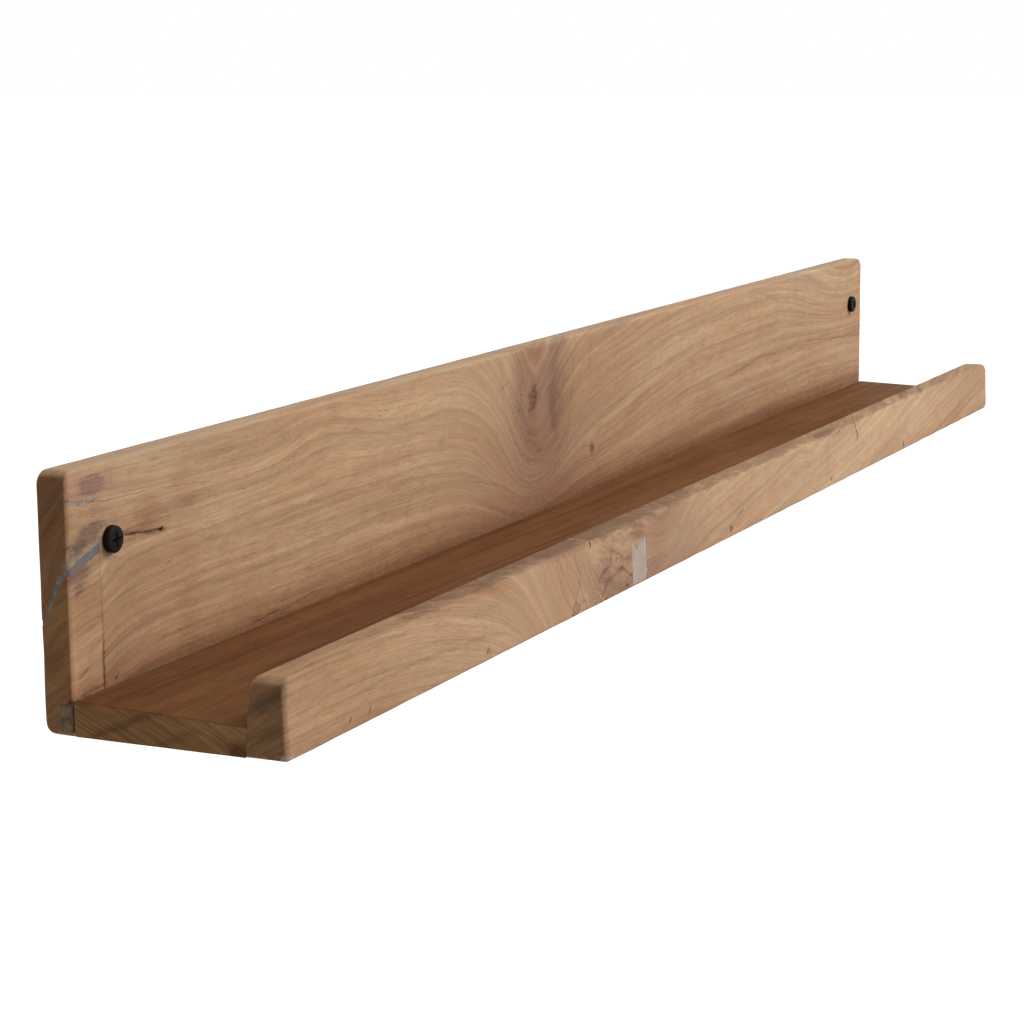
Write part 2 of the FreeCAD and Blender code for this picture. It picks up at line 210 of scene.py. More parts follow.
def tube(name, rows):
    """An object of the closed tube through the rows, each end closed by a fan to its middle."""
    count, around = rows.shape[:2]
    points = np.concatenate([rows.reshape(-1, 3), rows[:1].mean(axis=1), rows[-1:].mean(axis=1)])
    place = np.arange(count * around).reshape(count, around)
    aside = np.roll(place, -1, axis=1)
    quads = np.stack([place[:-1], place[1:], aside[1:], aside[:-1]], axis=-1).reshape(-1, 4)
    first_pole = np.full(around, count * around)
    first = np.stack([first_pole, place[0], aside[0]], axis=-1)
    last = np.stack([place[-1], first_pole + 1, aside[-1]], axis=-1)
    mesh = bpy.data.meshes.new(name)
    mesh.from_pydata(points.tolist(), [], quads.tolist() + first.tolist() + last.tolist())
    thing = bpy.data.objects.new(name, mesh)
    bpy.context.scene.collection.objects.link(thing)
    return thing


def turned_rows(profile, centre, steps):
    """Rows of a shape turned about an axis along Y: each profile point (radius, y) is carried round
    the centre."""
    angle = np.arange(steps) * 2 * math.pi / steps
    profile = np.asarray(profile)
    radius, out = profile[:, :1], profile[:, 1:]
    return np.stack(
        [
            centre[0] + radius * np.cos(angle),
            np.broadcast_to(out, (len(profile), steps)),
            centre[2] + radius * np.sin(angle),
        ],
        axis=-1,
    )


def slab_rows(outline, near_y, far_y):
    """Rows of a slab with this outline, as seen from the front, between two depths; the outline is turned
    counter-clockwise first."""
    outline = np.asarray(outline)
    following = np.roll(outline, -1, axis=0)
    if np.sum(outline[:, 0] * following[:, 1] - outline[:, 1] * following[:, 0]) < 0:
        outline = outline[::-1]
    depth = np.array([near_y, far_y])
    return np.stack(
        [
            np.broadcast_to(outline[:, 0], (2, len(outline))),
            np.broadcast_to(depth[:, None], (2, len(outline))),
            np.broadcast_to(outline[:, 1], (2, len(outline))),
        ],
        axis=-1,
    )


def ragged(outline, pitch, amount, seed):
    """An outline walked at an even pitch, each point of the walk pushed aside by a seeded amount."""
    draw = np.random.default_rng(seed)
    walked = []
    for start, finish in zip(outline, np.roll(outline, -1, axis=0)):
        steps = max(1, int(np.hypot(*(finish - start)) / pitch))
        walked.append(start + (finish - start) * (np.arange(steps) / steps)[:, None])
    walked = np.concatenate(walked)
    return walked + draw.uniform(-amount, amount, walked.shape)


def carve(piece, operation, tools):
    """Cuts the piece by closed tools, or keeps what it shares with them, and leaves a plain mesh."""
    for tool in tools:
        step = piece.modifiers.new("carve", "BOOLEAN")
        step.operation = operation
        step.object = tool
        step.solver = "MANIFOLD"
    bpy.context.view_layer.update()
    carved = bpy.data.meshes.new_from_object(piece.evaluated_get(bpy.context.evaluated_depsgraph_get()))
    piece.modifiers.clear()
    piece.data = carved
    for tool in tools:
        bpy.data.objects.remove(tool)


def one_tool(tools):
    """Several closed tools that don't touch, as one."""
    gathered = bmesh.new()
    for tool in tools:
        gathered.from_mesh(tool.data)
        bpy.data.objects.remove(tool)
    joined = bpy.data.meshes.new("tools")
    gathered.to_mesh(joined)
    gathered.free()
    thing = bpy.data.objects.new("tools", joined)
    bpy.context.scene.collection.objects.link(thing)
    return thing


WEAR_REACH = 4 * MM
CREASE = math.radians(38)


def finish_wood(piece, outline, flow, material, node):
    """Gives a wooden piece its grain and edge attributes, its smooth faces, its material and its place."""
    mesh = piece.data
    points = np.empty(len(mesh.vertices) * 3)
    mesh.vertices.foreach_get("co", points)
    points = points.reshape(-1, 3)
    grain = mesh.attributes.new("grain", "FLOAT_VECTOR", "POINT")
    grain.data.foreach_set("vector", flow(points).astype(np.float32).ravel())
    edge = mesh.attributes.new("edge", "FLOAT", "POINT")
    edge.data.foreach_set("value", nearness_to_edge(points, outline, WEAR_REACH).astype(np.float32))
    finish_piece(piece, material, node)


def finish_piece(piece, material, node):
    """Smooths the faces up to a crease, then sets the material, the node that the piece stands for
    and the body that it rides on."""
    mesh = piece.data
    mesh.materials.clear()
    mesh.materials.append(material)
    mesh.polygons.foreach_set("material_index", np.zeros(len(mesh.polygons), np.int32))
    mesh.shade_smooth()
    mesh.set_sharp_from_angle(angle=CREASE)
    piece.name = node + "_dressed"
    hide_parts(node)
    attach(piece, "root")


def bump_at(along, up, centre, spread):
    """A bell from 1 at the centre, with its own spread along and up."""
    return np.exp(-(((along - centre[0]) / spread[0]) ** 2 + ((up - centre[1]) / spread[1]) ** 2) / 2)


def eased_step(value, low, high):
    """0 below low and 1 above high, with a smooth rise between."""
    share = np.clip((value - low) / (high - low), 0, 1)
    return share * share * (3 - 2 * share)


def board_flow(points):
    """Along, ring and depth of the board's grain, in metres. A ring line is level but climbs away
    from the left end, dips in a trough under the big knot, closes round the knot and the pin knot,
    falls at the right end's top, and climbs to the front through the thickness."""
    along = (points[:, 0] - LEFT_END) / MM
    up = (points[:, 2] - UNDERSIDE) / MM
    out = points[:, 1] / MM
    wide = np.where(along < 432, 41, 118)
    trough = 33 * np.exp(-(((along - 432) / wide) ** 2) / 2)
    trough += 30 * bump_at(along, up, (432, 60), (29, 400))
    trough += 12 * bump_at(along, up, (428, 76), (10, 15))
    ring = up + trough * eased_step(up, -10, 45) + 5 * bump_at(along, up, (506, 38), (6, 5))
    ring += 24 * bump_at(along, up, (965, 100), (62, 60)) * eased_step(up, 45, 82)
    ring -= 7 * bump_at(along, up, (205, 96), (28, 16))
    ring += 12 * np.exp(-np.clip(along - 18, 0, None) / 21) * (1 - eased_step(up, 52, 76))
    ring += 1.1 * (out - BOARD_FRONT / MM)
    ring += (
        5 * (sway(points * [0.3, 1, 1], 60 * MM, 11) - 0.5)
        + 1.8 * (sway(points * [0.4, 1, 1], 24 * MM, 12) - 0.5)
    )
    ring += 6 * bump_at(along, up, (437, 70), (34, 30)) * (sway(points, 15 * MM, 13) - 0.5)
    return np.stack([along, ring, out], axis=1) * MM


board_outline = [
    (BOARD_FRONT, UNDERSIDE), (BOARD_FRONT, board_high[2]),
    (WALL_PLANE, board_high[2]), (WALL_PLANE, UNDERSIDE),
]
BOARD_STEPS = (44, 6, 40, 6)


def board_blank(name, span=None, sunk=0.0, seed=1):
    """The board's plank, or a stretch of it, before anything is let in; sunk presses its whole
    surface in."""
    rows = with_caps(plank_rows(board_outline, BOARD_ENDS, BOARD_ROUNDS, BOARD_PITCH, BOARD_STEPS, span))
    rows = weathered(rows, board_outline, 0.08 * MM, 0.35 * MM, seed)
    return tube(name, rows - row_normals(rows) * sunk)


PATCH_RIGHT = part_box("corner_patch")[1][0]
screw_centres = {}
for side in ("left", "right"):
    low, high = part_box("mounting_screw_" + side)
    screw_centres[side] = np.array([(low[0] + high[0]) / 2, 0, (low[2] + high[2]) / 2])

SEAM_PLACES = (-20, -13.7, -10, -8, -6, -4.5, -1.5, 0, 6)
SEAM_LEVELS = (7, 0, -1.2, -4, -9, -13, -19, -21.5, -26)
SEAM_CLIMB = 7 * MM
PUTTY_THICK = 3.5 * MM
JOINT_TOP_SEED = 31
PATCH_TOP_SEED = 32
# How far tools and blanks stand past the faces that are cut.
TOOL_PAST = 6 * MM


def seam_top(along, out, drop, seed):
    """The height of the sloping joint over the patch: it falls in a long S from the front to the
    wall, climbs 7 mm to the right, and wanders as a hand-cut joint does. The drop under it is
    smaller to the left, and swells by a bell within the thickness."""
    share = (PATCH_RIGHT - along) / (PATCH_RIGHT - LEFT_END)
    fall = np.interp(out / MM, SEAM_PLACES, SEAM_LEVELS) * MM
    level = screw_centres["left"][2] - SEAM_CLIMB * share + fall
    points = np.stack([along, out, level], axis=-1)
    swell = 1.2 - 0.5 * share + 0.9 * np.exp(-(((out / MM + 7) / 3) ** 2))
    return level - drop * swell + 1.6 * MM * (sway(points, 5.5 * MM, seed) - 0.5)


def wedge_rows(drop, seed, gap=0.0):
    """Rows of the block under that joint: sections across the thickness, from beyond the left end
    to its right side."""
    along = np.linspace(LEFT_END - TOOL_PAST, PATCH_RIGHT - gap, 22)[:, None]
    out = np.linspace(BOARD_FRONT - TOOL_PAST, WALL_PLANE + TOOL_PAST, 24)[None, :]
    along, out = np.broadcast_arrays(along, out)
    top = np.stack([along, out, seam_top(along, out, drop, seed)], axis=-1)
    foot = top.copy()
    foot[..., 2] = UNDERSIDE - TOOL_PAST
    return np.concatenate([top, foot[:, ::-1]], axis=1)


STREAK = np.array([
    (-6, 93.2), (-6, 92.2), (0, 91.7), (3.5, 90.9), (6.5, 89.6), (11, 89.0), (14.5, 89.3), (18.6, 89.3),
    (19.4, 90.0), (14.5, 90.3), (12, 91.2), (7.5, 91.3), (4, 92.1), (0, 92.9),
])
STREAK_DEEP = 1.5 * MM
CRACK = np.array([
    (37, 72.7), (45, 71.7), (52, 70.9), (60, 70.3), (65.5, 69.6),
    (66, 71.0), (60, 71.2), (51, 71.9), (44, 72.7),
])
WAY_STEPS = 28
HOLE_RADIUS = 2.8 * MM
TRAY_SCREW_NUMBERS = range(1, 7)
TRAY_SCREW_LEVEL = sum(corner[2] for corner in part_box("tray_screw_1")) / 2
TRAY_SCREW_PROFILE = [
    (4.15, 6), (4.15, -0.4), (2.15, -2.4), (2.15, -13.7), (2.02, -13.72), (2.02, -46.4), (0.3, -50.3),
]


def face_outline(corners):
    """Corners in millimetres along and up, as places in the frame."""
    return corners * MM + [LEFT_END, UNDERSIDE]


def streak_tool():
    """The shallow gouge near the upper left corner."""
    outline = ragged(face_outline(STREAK), 1.2 * MM, 0.16 * MM, 5)
    return tube("streak", slab_rows(outline, BOARD_FRONT - TOOL_PAST, BOARD_FRONT + STREAK_DEEP))


def crack_tool():
    """The open check to the right of the left mounting screw."""
    outline = ragged(face_outline(CRACK), 1.5 * MM, 0.12 * MM, 6)
    return tube("crack", slab_rows(outline, BOARD_FRONT - TOOL_PAST, BOARD_FRONT + 0.9 * MM))


def tray_screw_tool():
    """The ways of the six tray screws: a countersink in the wall face, then a hole to the screw's tip."""
    profile = np.array(TRAY_SCREW_PROFILE[::-1]) * MM
    tools = []
    for index in TRAY_SCREW_NUMBERS:
        low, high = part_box(f"tray_screw_{index}")
        centre = ((low[0] + high[0]) / 2, 0, TRAY_SCREW_LEVEL)
        tools.append(tube("way", turned_rows(profile, centre, WAY_STEPS)))
    return one_tool(tools)


def mounting_hole_tool():
    """The two clearance holes for the mounting screws."""
    profile = [(HOLE_RADIUS, -20 * MM), (HOLE_RADIUS, TOOL_PAST)]
    holes = [tube("hole", turned_rows(profile, centre, WAY_STEPS)) for centre in screw_centres.values()]
    return one_tool(holes)


def new_group(name, inputs, build):
    """A shader node group: inputs with a name and a kind, and the outputs that build makes of them."""
    tree = bpy.data.node_groups.new(name, "ShaderNodeTree")
    for label, kind in inputs.items():
        tree.interface.new_socket(label, in_out="INPUT", socket_type="NodeSocket" + kind)
    found = build(tree, tree.nodes.new("NodeGroupInput").outputs)
    for label, value in found.items():
        kind = "NodeSocketColor" if value.type == "RGBA" else "NodeSocketFloat"
        tree.interface.new_socket(label, in_out="OUTPUT", socket_type=kind)
    out = tree.nodes.new("NodeGroupOutput")
    for label, value in found.items():
        tree.links.new(value, out.inputs[label])
    return tree


def add(tree, kind, inputs, **settings):
    """A node with its settings; each input is a value or the socket that feeds it. Returns its
    first output."""
    node = tree.nodes.new(kind)
    for name, value in settings.items():
        setattr(node, name, value)
    for key, value in inputs.items():
        if isinstance(value, bpy.types.NodeSocket):
            tree.links.new(value, node.inputs[key])
        else:
            node.inputs[key].default_value = value
    return node.outputs[0]


def maths(tree, operation, first, second=0.0, third=0.0):
    """One sum of up to three numbers."""
    return add(tree, "ShaderNodeMath", {0: first, 1: second, 2: third}, operation=operation)


def stretched(tree, vector, scale):
    """A vector with its parts scaled."""
    return add(tree, "ShaderNodeVectorMath", {0: vector, 1: scale}, operation="MULTIPLY")


def noise(tree, vector, detail=2.0, roughness=0.5):
    """Noise from 0 to 1 at the scale of the vector given."""
    inputs = {"Vector": vector, "Scale": 1.0, "Detail": detail, "Roughness": roughness}
    return add(tree, "ShaderNodeTexNoise", inputs)


def ramp(tree, value, low, high, start=0.0, finish=1.0, shape="SMOOTHSTEP"):
    """A value carried from one range to another and held at its ends."""
    inputs = {"Value": value, 1: low, 2: high, 3: start, 4: finish}
    return add(tree, "ShaderNodeMapRange", inputs, interpolation_type=shape, clamp=True)


def blend(tree, mask, under, over, mode="MIX"):
    """Two colours mixed by a mask."""
    node = tree.nodes.new("ShaderNodeMix")
    node.data_type = "RGBA"
    node.blend_type = mode
    for index, value in ((0, mask), (6, under), (7, over)):
        if isinstance(value, bpy.types.NodeSocket):
            tree.links.new(value, node.inputs[index])
        elif index == 0:
            node.inputs[index].default_value = value
        else:
            node.inputs[index].default_value = (*value, 1)
    return node.outputs[2]


def grain_effects(tree, given):
    """The grain of teak along a grain vector: broad bands, streaks, ring lines crisp on one side,
    fibres, flecks, pores, blotches, and the coarser streaks of a sawn end."""
    grain = given["Grain"]
    drift = maths(tree, "SUBTRACT", noise(tree, stretched(tree, grain, (9, 60, 25)), 3.0, 0.6), 0.5)
    drift = maths(tree, "MULTIPLY", drift, given["Wander"])
    sideways = add(tree, "ShaderNodeCombineXYZ", {"Y": drift})
    bent = add(tree, "ShaderNodeVectorMath", {0: grain, 1: sideways}, operation="ADD")
    ring = add(tree, "ShaderNodeSeparateXYZ", {0: bent}).node.outputs[1]
    lag = noise(tree, stretched(tree, bent, (2, 34, 12)), 2.0)
    phase = maths(tree, "MULTIPLY_ADD", ring, given["Rings per metre"], maths(tree, "MULTIPLY", lag, 7.0))
    late = maths(tree, "POWER", maths(tree, "SUBTRACT", 1.0, maths(tree, "FRACT", phase)), 3.0)
    clear = ramp(tree, noise(tree, stretched(tree, bent, (16, 150, 30)), 4.0, 0.62), 0.46, 0.70)
    fine = ramp(tree, noise(tree, stretched(tree, bent, (9, 800, 60)), 2.0), 0.5, 0.78)
    pores = ramp(tree, noise(tree, stretched(tree, bent, (330, 2300, 2300)), 1.0), 0.64, 0.74)
    crowd = ramp(tree, noise(tree, stretched(tree, bent, (40, 160, 90))), 0.4, 0.7)
    return {
        "Bands": ramp(tree, noise(tree, stretched(tree, bent, (2.2, 80, 16)), 4.0, 0.6), 0.32, 0.68),
        "Streaks": noise(tree, stretched(tree, bent, (5, 300, 50)), 4.0, 0.62),
        "Rings": maths(
            tree, "MAXIMUM", maths(tree, "MULTIPLY", late, clear), maths(tree, "MULTIPLY", fine, 0.6)
        ),
        "Fibre": noise(tree, stretched(tree, bent, (130, 1500, 1500)), 3.0, 0.65),
        "Flecks": ramp(tree, noise(tree, stretched(tree, bent, (55, 620, 300)), 3.0, 0.65), 0.54, 0.72),
        "Pores": maths(tree, "MULTIPLY", pores, crowd),
        "Blotch": ramp(tree, noise(tree, stretched(tree, grain, (11, 30, 30)), 3.0, 0.6), 0.32, 0.7),
        "Ends": noise(tree, stretched(tree, bent, (60, 260, 45)), 5.0, 0.7),
    }


def skin_effects(tree, given):
    """What a wooden surface has apart from its grain: mottling, wear along its rims, and how
    uneven, ragged and curled the marks on it are."""
    place = given["Place"]
    rubbed = ramp(tree, noise(tree, stretched(tree, place, (60, 220, 220)), 3.0, 0.6), 0.35, 0.7, 0.15, 1.0)
    ragged_rim = noise(tree, stretched(tree, place, (300, 300, 420)), 4.0, 0.7)
    return {
        "Mottle": ramp(tree, noise(tree, stretched(tree, place, (95, 95, 130)), 3.0, 0.7), 0.45, 0.8),
        "Worn": maths(tree, "MULTIPLY", ramp(tree, given["Edge"], 0.3, 0.95), rubbed),
        "Uneven": ramp(tree, noise(tree, stretched(tree, place, (420, 420, 620)), 4.0, 0.7), 0.35, 0.62),
        "Ragged": maths(tree, "SUBTRACT", ragged_rim, 0.5),
        "Curl": add(
            tree, "ShaderNodeTexNoise", {"Vector": place, "Scale": 110.0, "Detail": 2.0}
        ).node.outputs["Color"],
    }


def spot_effect(tree, given):
    """A mark: 1 inside an ellipsoid that is turned in the plane of along and up, with a soft rim
    that a value pushes about."""
    along = maths(tree, "SUBTRACT", given["Along"], given["Centre along"])
    up = maths(tree, "SUBTRACT", given["Up"], given["Centre up"])
    deep = maths(tree, "SUBTRACT", given["Deep"], given["Centre deep"])
    cosine = maths(tree, "COSINE", given["Turn"])
    sine = maths(tree, "SINE", given["Turn"])
    long = maths(tree, "MULTIPLY_ADD", up, sine, maths(tree, "MULTIPLY", along, cosine))
    raised = maths(tree, "MULTIPLY", up, cosine)
    tall = maths(tree, "SUBTRACT", raised, maths(tree, "MULTIPLY", along, sine))
    far = 0.0
    for reach, half in ((long, "Half long"), (tall, "Half high"), (deep, "Half deep")):
        share = maths(tree, "DIVIDE", reach, given[half])
        far = maths(tree, "MULTIPLY_ADD", share, share, far)
    far = maths(tree, "MULTIPLY_ADD", given["Push"], given["Rough"], maths(tree, "SQRT", far))
    inner = maths(tree, "SUBTRACT", 1.0, given["Soft"])
    outer = maths(tree, "ADD", 1.0, given["Soft"])
    return {"Mask": ramp(tree, far, inner, outer, 1.0, 0.0)}


SPOT_INPUTS = (
    "Along", "Up", "Deep", "Centre along", "Centre up", "Centre deep",
    "Half long", "Half high", "Half deep", "Turn", "Soft", "Push", "Rough",
)
TEAK_GRAIN = new_group(
    "teak_grain", {"Grain": "Vector", "Rings per metre": "Float", "Wander": "Float"}, grain_effects
)
WOOD_SKIN = new_group("wood_skin", {"Place": "Vector", "Edge": "Float"}, skin_effects)
SPOT_MARK = new_group("spot_mark", dict.fromkeys(SPOT_INPUTS, "Float"), spot_effect)


def use_group(tree, group, inputs):
    """A group placed in a material; returns its outputs."""
    node = tree.nodes.new("ShaderNodeGroup")
    node.node_tree = group
    for key, value in inputs.items():
        if isinstance(value, bpy.types.NodeSocket):
            tree.links.new(value, node.inputs[key])
        else:
            node.inputs[key].default_value = value
    return node.outputs


def axes(tree, place):
    """A place's parts by name, with the way out from the wall also counted to the front."""
    parts = add(tree, "ShaderNodeSeparateXYZ", {0: place}).node.outputs
    to_front = maths(tree, "MULTIPLY", parts[1], -1.0)
    return {"along": parts[0], "out": parts[1], "up": parts[2], "to front": to_front}


def marked(tree, colour, place, push, uneven, marks, mode="MULTIPLY"):
    """The colour with located marks laid over it in turn, their lengths in millimetres. A mark is
    (centre, half sizes, turn in degrees, softness, raggedness, tint, strength), or has a list of
    such places for its first three. It turns up to the right on a front, and up to the front on
    the left end's face, where its centre lies at 0 along."""
    for *shape, soft, rough, tint, strength in marks:
        mask = 0.0
        for centre, half_sizes, turn in [shape] if len(shape) == 3 else shape[0]:
            middle = on_shelf(*centre)
            half = np.array(half_sizes) * MM
            given = {"Up": place["up"], "Centre up": middle[2], "Half high": half[2]}
            if centre[0] == 0:
                given |= {"Along": place["to front"], "Centre along": -middle[1], "Half long": half[1]}
                given |= {"Deep": place["along"], "Centre deep": middle[0], "Half deep": half[0]}
            else:
                given |= {"Along": place["along"], "Centre along": middle[0], "Half long": half[0]}
                given |= {"Deep": place["out"], "Centre deep": middle[1], "Half deep": half[1]}
            given |= {"Turn": math.radians(turn), "Soft": soft, "Push": push, "Rough": rough}
            mask = maths(tree, "MAXIMUM", mask, use_group(tree, SPOT_MARK, given)["Mask"])
        strong = maths(tree, "MULTIPLY", maths(tree, "MULTIPLY", mask, uneven), strength)
        colour = blend(tree, strong, colour, tint, mode)
    return colour


def new_material(name, colour_of, roughness=(0.6, 0.75), **constants):
    """A material whose colour, roughness value and height come from a function of its tree."""
    material = bpy.data.materials.new(name)
    material.use_nodes = True
    tree = material.node_tree
    shader = tree.nodes["Principled BSDF"]
    for key, value in constants.items():
        shader.inputs[key.replace("_", " ")].default_value = value
    colour, sheen, height, depth = colour_of(tree)
    tree.links.new(colour, shader.inputs["Base Color"])
    tree.links.new(ramp(tree, sheen, 0.0, 1.0, *roughness, shape="LINEAR"), shader.inputs["Roughness"])
    relief = add(tree, "ShaderNodeBump", {"Height": height, "Distance": depth, "Strength": 0.6})
    tree.links.new(relief, shader.inputs["Normal"])
    return material


def grey(tree, value):
    """A value as a grey colour."""
    return add(tree, "ShaderNodeCombineColor", {0: value, 1: value, 2: value})


RIM_WEAR = 0.3


def teak(
    name, shades, stains_light_and_shade, covers=(), rings_per_metre=330, wander=4 * MM, ring_depth=0.42, shine=0.2
):
    """Oiled teak: shades for ground, ruddy bands, pale blotches, ring lines, end grain and worn
    rims. Stains, and painted light and shade laid the same way, tint the grain under them;
    covers lie over it."""

    def colour_of(tree):
        grain = add(tree, "ShaderNodeAttribute", {}, attribute_name="grain").node.outputs["Vector"]
        edge = add(tree, "ShaderNodeAttribute", {}, attribute_name="edge").node.outputs["Fac"]
        place = add(tree, "ShaderNodeTexCoord", {}).node.outputs["Object"]
        found = use_group(
            tree, TEAK_GRAIN, {"Grain": grain, "Rings per metre": rings_per_metre, "Wander": wander}
        )
        colour = blend(tree, found["Bands"], shades["ground"], shades["ruddy"])
        colour = blend(tree, maths(tree, "MULTIPLY", found["Blotch"], 0.55), colour, shades["pale"])
        light = ramp(tree, found["Streaks"], 0.3, 0.7, 0.77, 1.20, shape="LINEAR")
        colour = blend(tree, 1.0, colour, grey(tree, light), "MULTIPLY")
        colour = blend(tree, maths(tree, "MULTIPLY", found["Rings"], ring_depth), colour, shades["line"])
        colour = blend(tree, maths(tree, "MULTIPLY", found["Flecks"], 0.38), colour, shades["line"])
        skin = use_group(tree, WOOD_SKIN, {"Place": place, "Edge": edge})
        colour = blend(tree, maths(tree, "MULTIPLY", skin["Mottle"], 0.3), colour, shades["line"])
        light = ramp(tree, found["Fibre"], 0.25, 0.75, 0.84, 1.15, shape="LINEAR")
        colour = blend(tree, 1.0, colour, grey(tree, light), "MULTIPLY")
        colour = blend(tree, maths(tree, "MULTIPLY", found["Pores"], 0.6), colour, shades["pore"])
        facing = add(tree, "ShaderNodeNewGeometry", {}).node.outputs["Normal"]
        across = maths(tree, "ABSOLUTE", add(tree, "ShaderNodeSeparateXYZ", {0: facing}))
        endwise = ramp(tree, across, 0.72, 0.97)
        sawn = ramp(tree, found["Ends"], 0.34, 0.66, 0.5, 1.45, shape="LINEAR")
        ended = blend(tree, 1.0, shades["end"], grey(tree, sawn), "MULTIPLY")
        ended = blend(tree, 0.88, colour, ended)
        colour = blend(tree, endwise, colour, ended)
        worn = maths(tree, "MULTIPLY_ADD", endwise, -0.8, 1.0)
        worn = maths(tree, "MULTIPLY", worn, maths(tree, "MULTIPLY", skin["Worn"], RIM_WEAR))
        colour = blend(tree, worn, colour, shades["worn"])
        shift = add(
            tree, "ShaderNodeVectorMath", {0: skin["Curl"], 1: (3 * MM,) * 3, 2: (-1.5 * MM,) * 3},
            operation="MULTIPLY_ADD",
        )
        curled = axes(tree, add(tree, "ShaderNodeVectorMath", {0: place, 1: shift}, operation="ADD"))
        push = maths(tree, "ADD", skin["Ragged"], maths(tree, "SUBTRACT", found["Streaks"], 0.5))
        # The stain marks include painted light and shade as well as real stains; this share sets how
        # strongly each is laid.
        stain_light_and_shade_share = ramp(tree, skin["Uneven"], 0.0, 1.0, 0.82, 0.95)
        colour = marked(tree, colour, curled, push, stain_light_and_shade_share, stains_light_and_shade)
        covered = ramp(tree, skin["Uneven"], 0.0, 1.0, 0.15, 1.0)
        colour = marked(tree, colour, curled, push, covered, covers, "MIX")
        sunk = maths(tree, "MULTIPLY", found["Rings"], -0.35)
        height = maths(tree, "MULTIPLY_ADD", found["Fibre"], 0.5, sunk)
        height = maths(tree, "SUBTRACT", height, maths(tree, "MULTIPLY", found["Pores"], 0.8))
        return colour, found["Fibre"], height, 0.25 * MM

    return new_material(name, colour_of, (0.6, 0.78), Specular_IOR_Level=shine)


BOARD_SHADES = {
    "ground": (0.460, 0.287, 0.154),
    "ruddy": (0.425, 0.231, 0.125),
    "pale": (0.495, 0.328, 0.198),
    "line": (0.27, 0.145, 0.078),
    "pore": (0.15, 0.080, 0.045),
    "worn": (0.42, 0.260, 0.145),
    "end": (0.145, 0.065, 0.022),
}
MINERAL = (0.58, 0.57, 0.70)
HALO = (0.63, 0.60, 0.64)
RUST = (0.76, 0.58, 0.50)
UMBER = (0.24, 0.20, 0.18)
BROWN = (0.62, 0.50, 0.44)
PINKISH = (1.0, 0.86, 0.90)
PALE_WOOD = (1.16, 1.20, 1.26)
PUTTY_SMEAR = (0.25, 0.21, 0.19)


STROKE_REACH = 0.62
STROKE_DEEP = 4


def stroke(corners, wide, soft, rough, tint, strength, out=BOARD_FRONT / MM):
    """A mark along a line on a front face: a long spot to each of its runs, which reaches both
    ways over more than half of it, so that neighbours overlap at the line's corners."""
    runs = []
    for (left, low), (right, high) in zip(corners, corners[1:]):
        reach = STROKE_REACH * math.hypot(right - left, high - low) + wide
        turn = math.degrees(math.atan2(high - low, right - left))
        runs.append((((left + right) / 2, (low + high) / 2, out), (reach, STROKE_DEEP, wide), turn))
    return runs, soft, rough, tint, strength


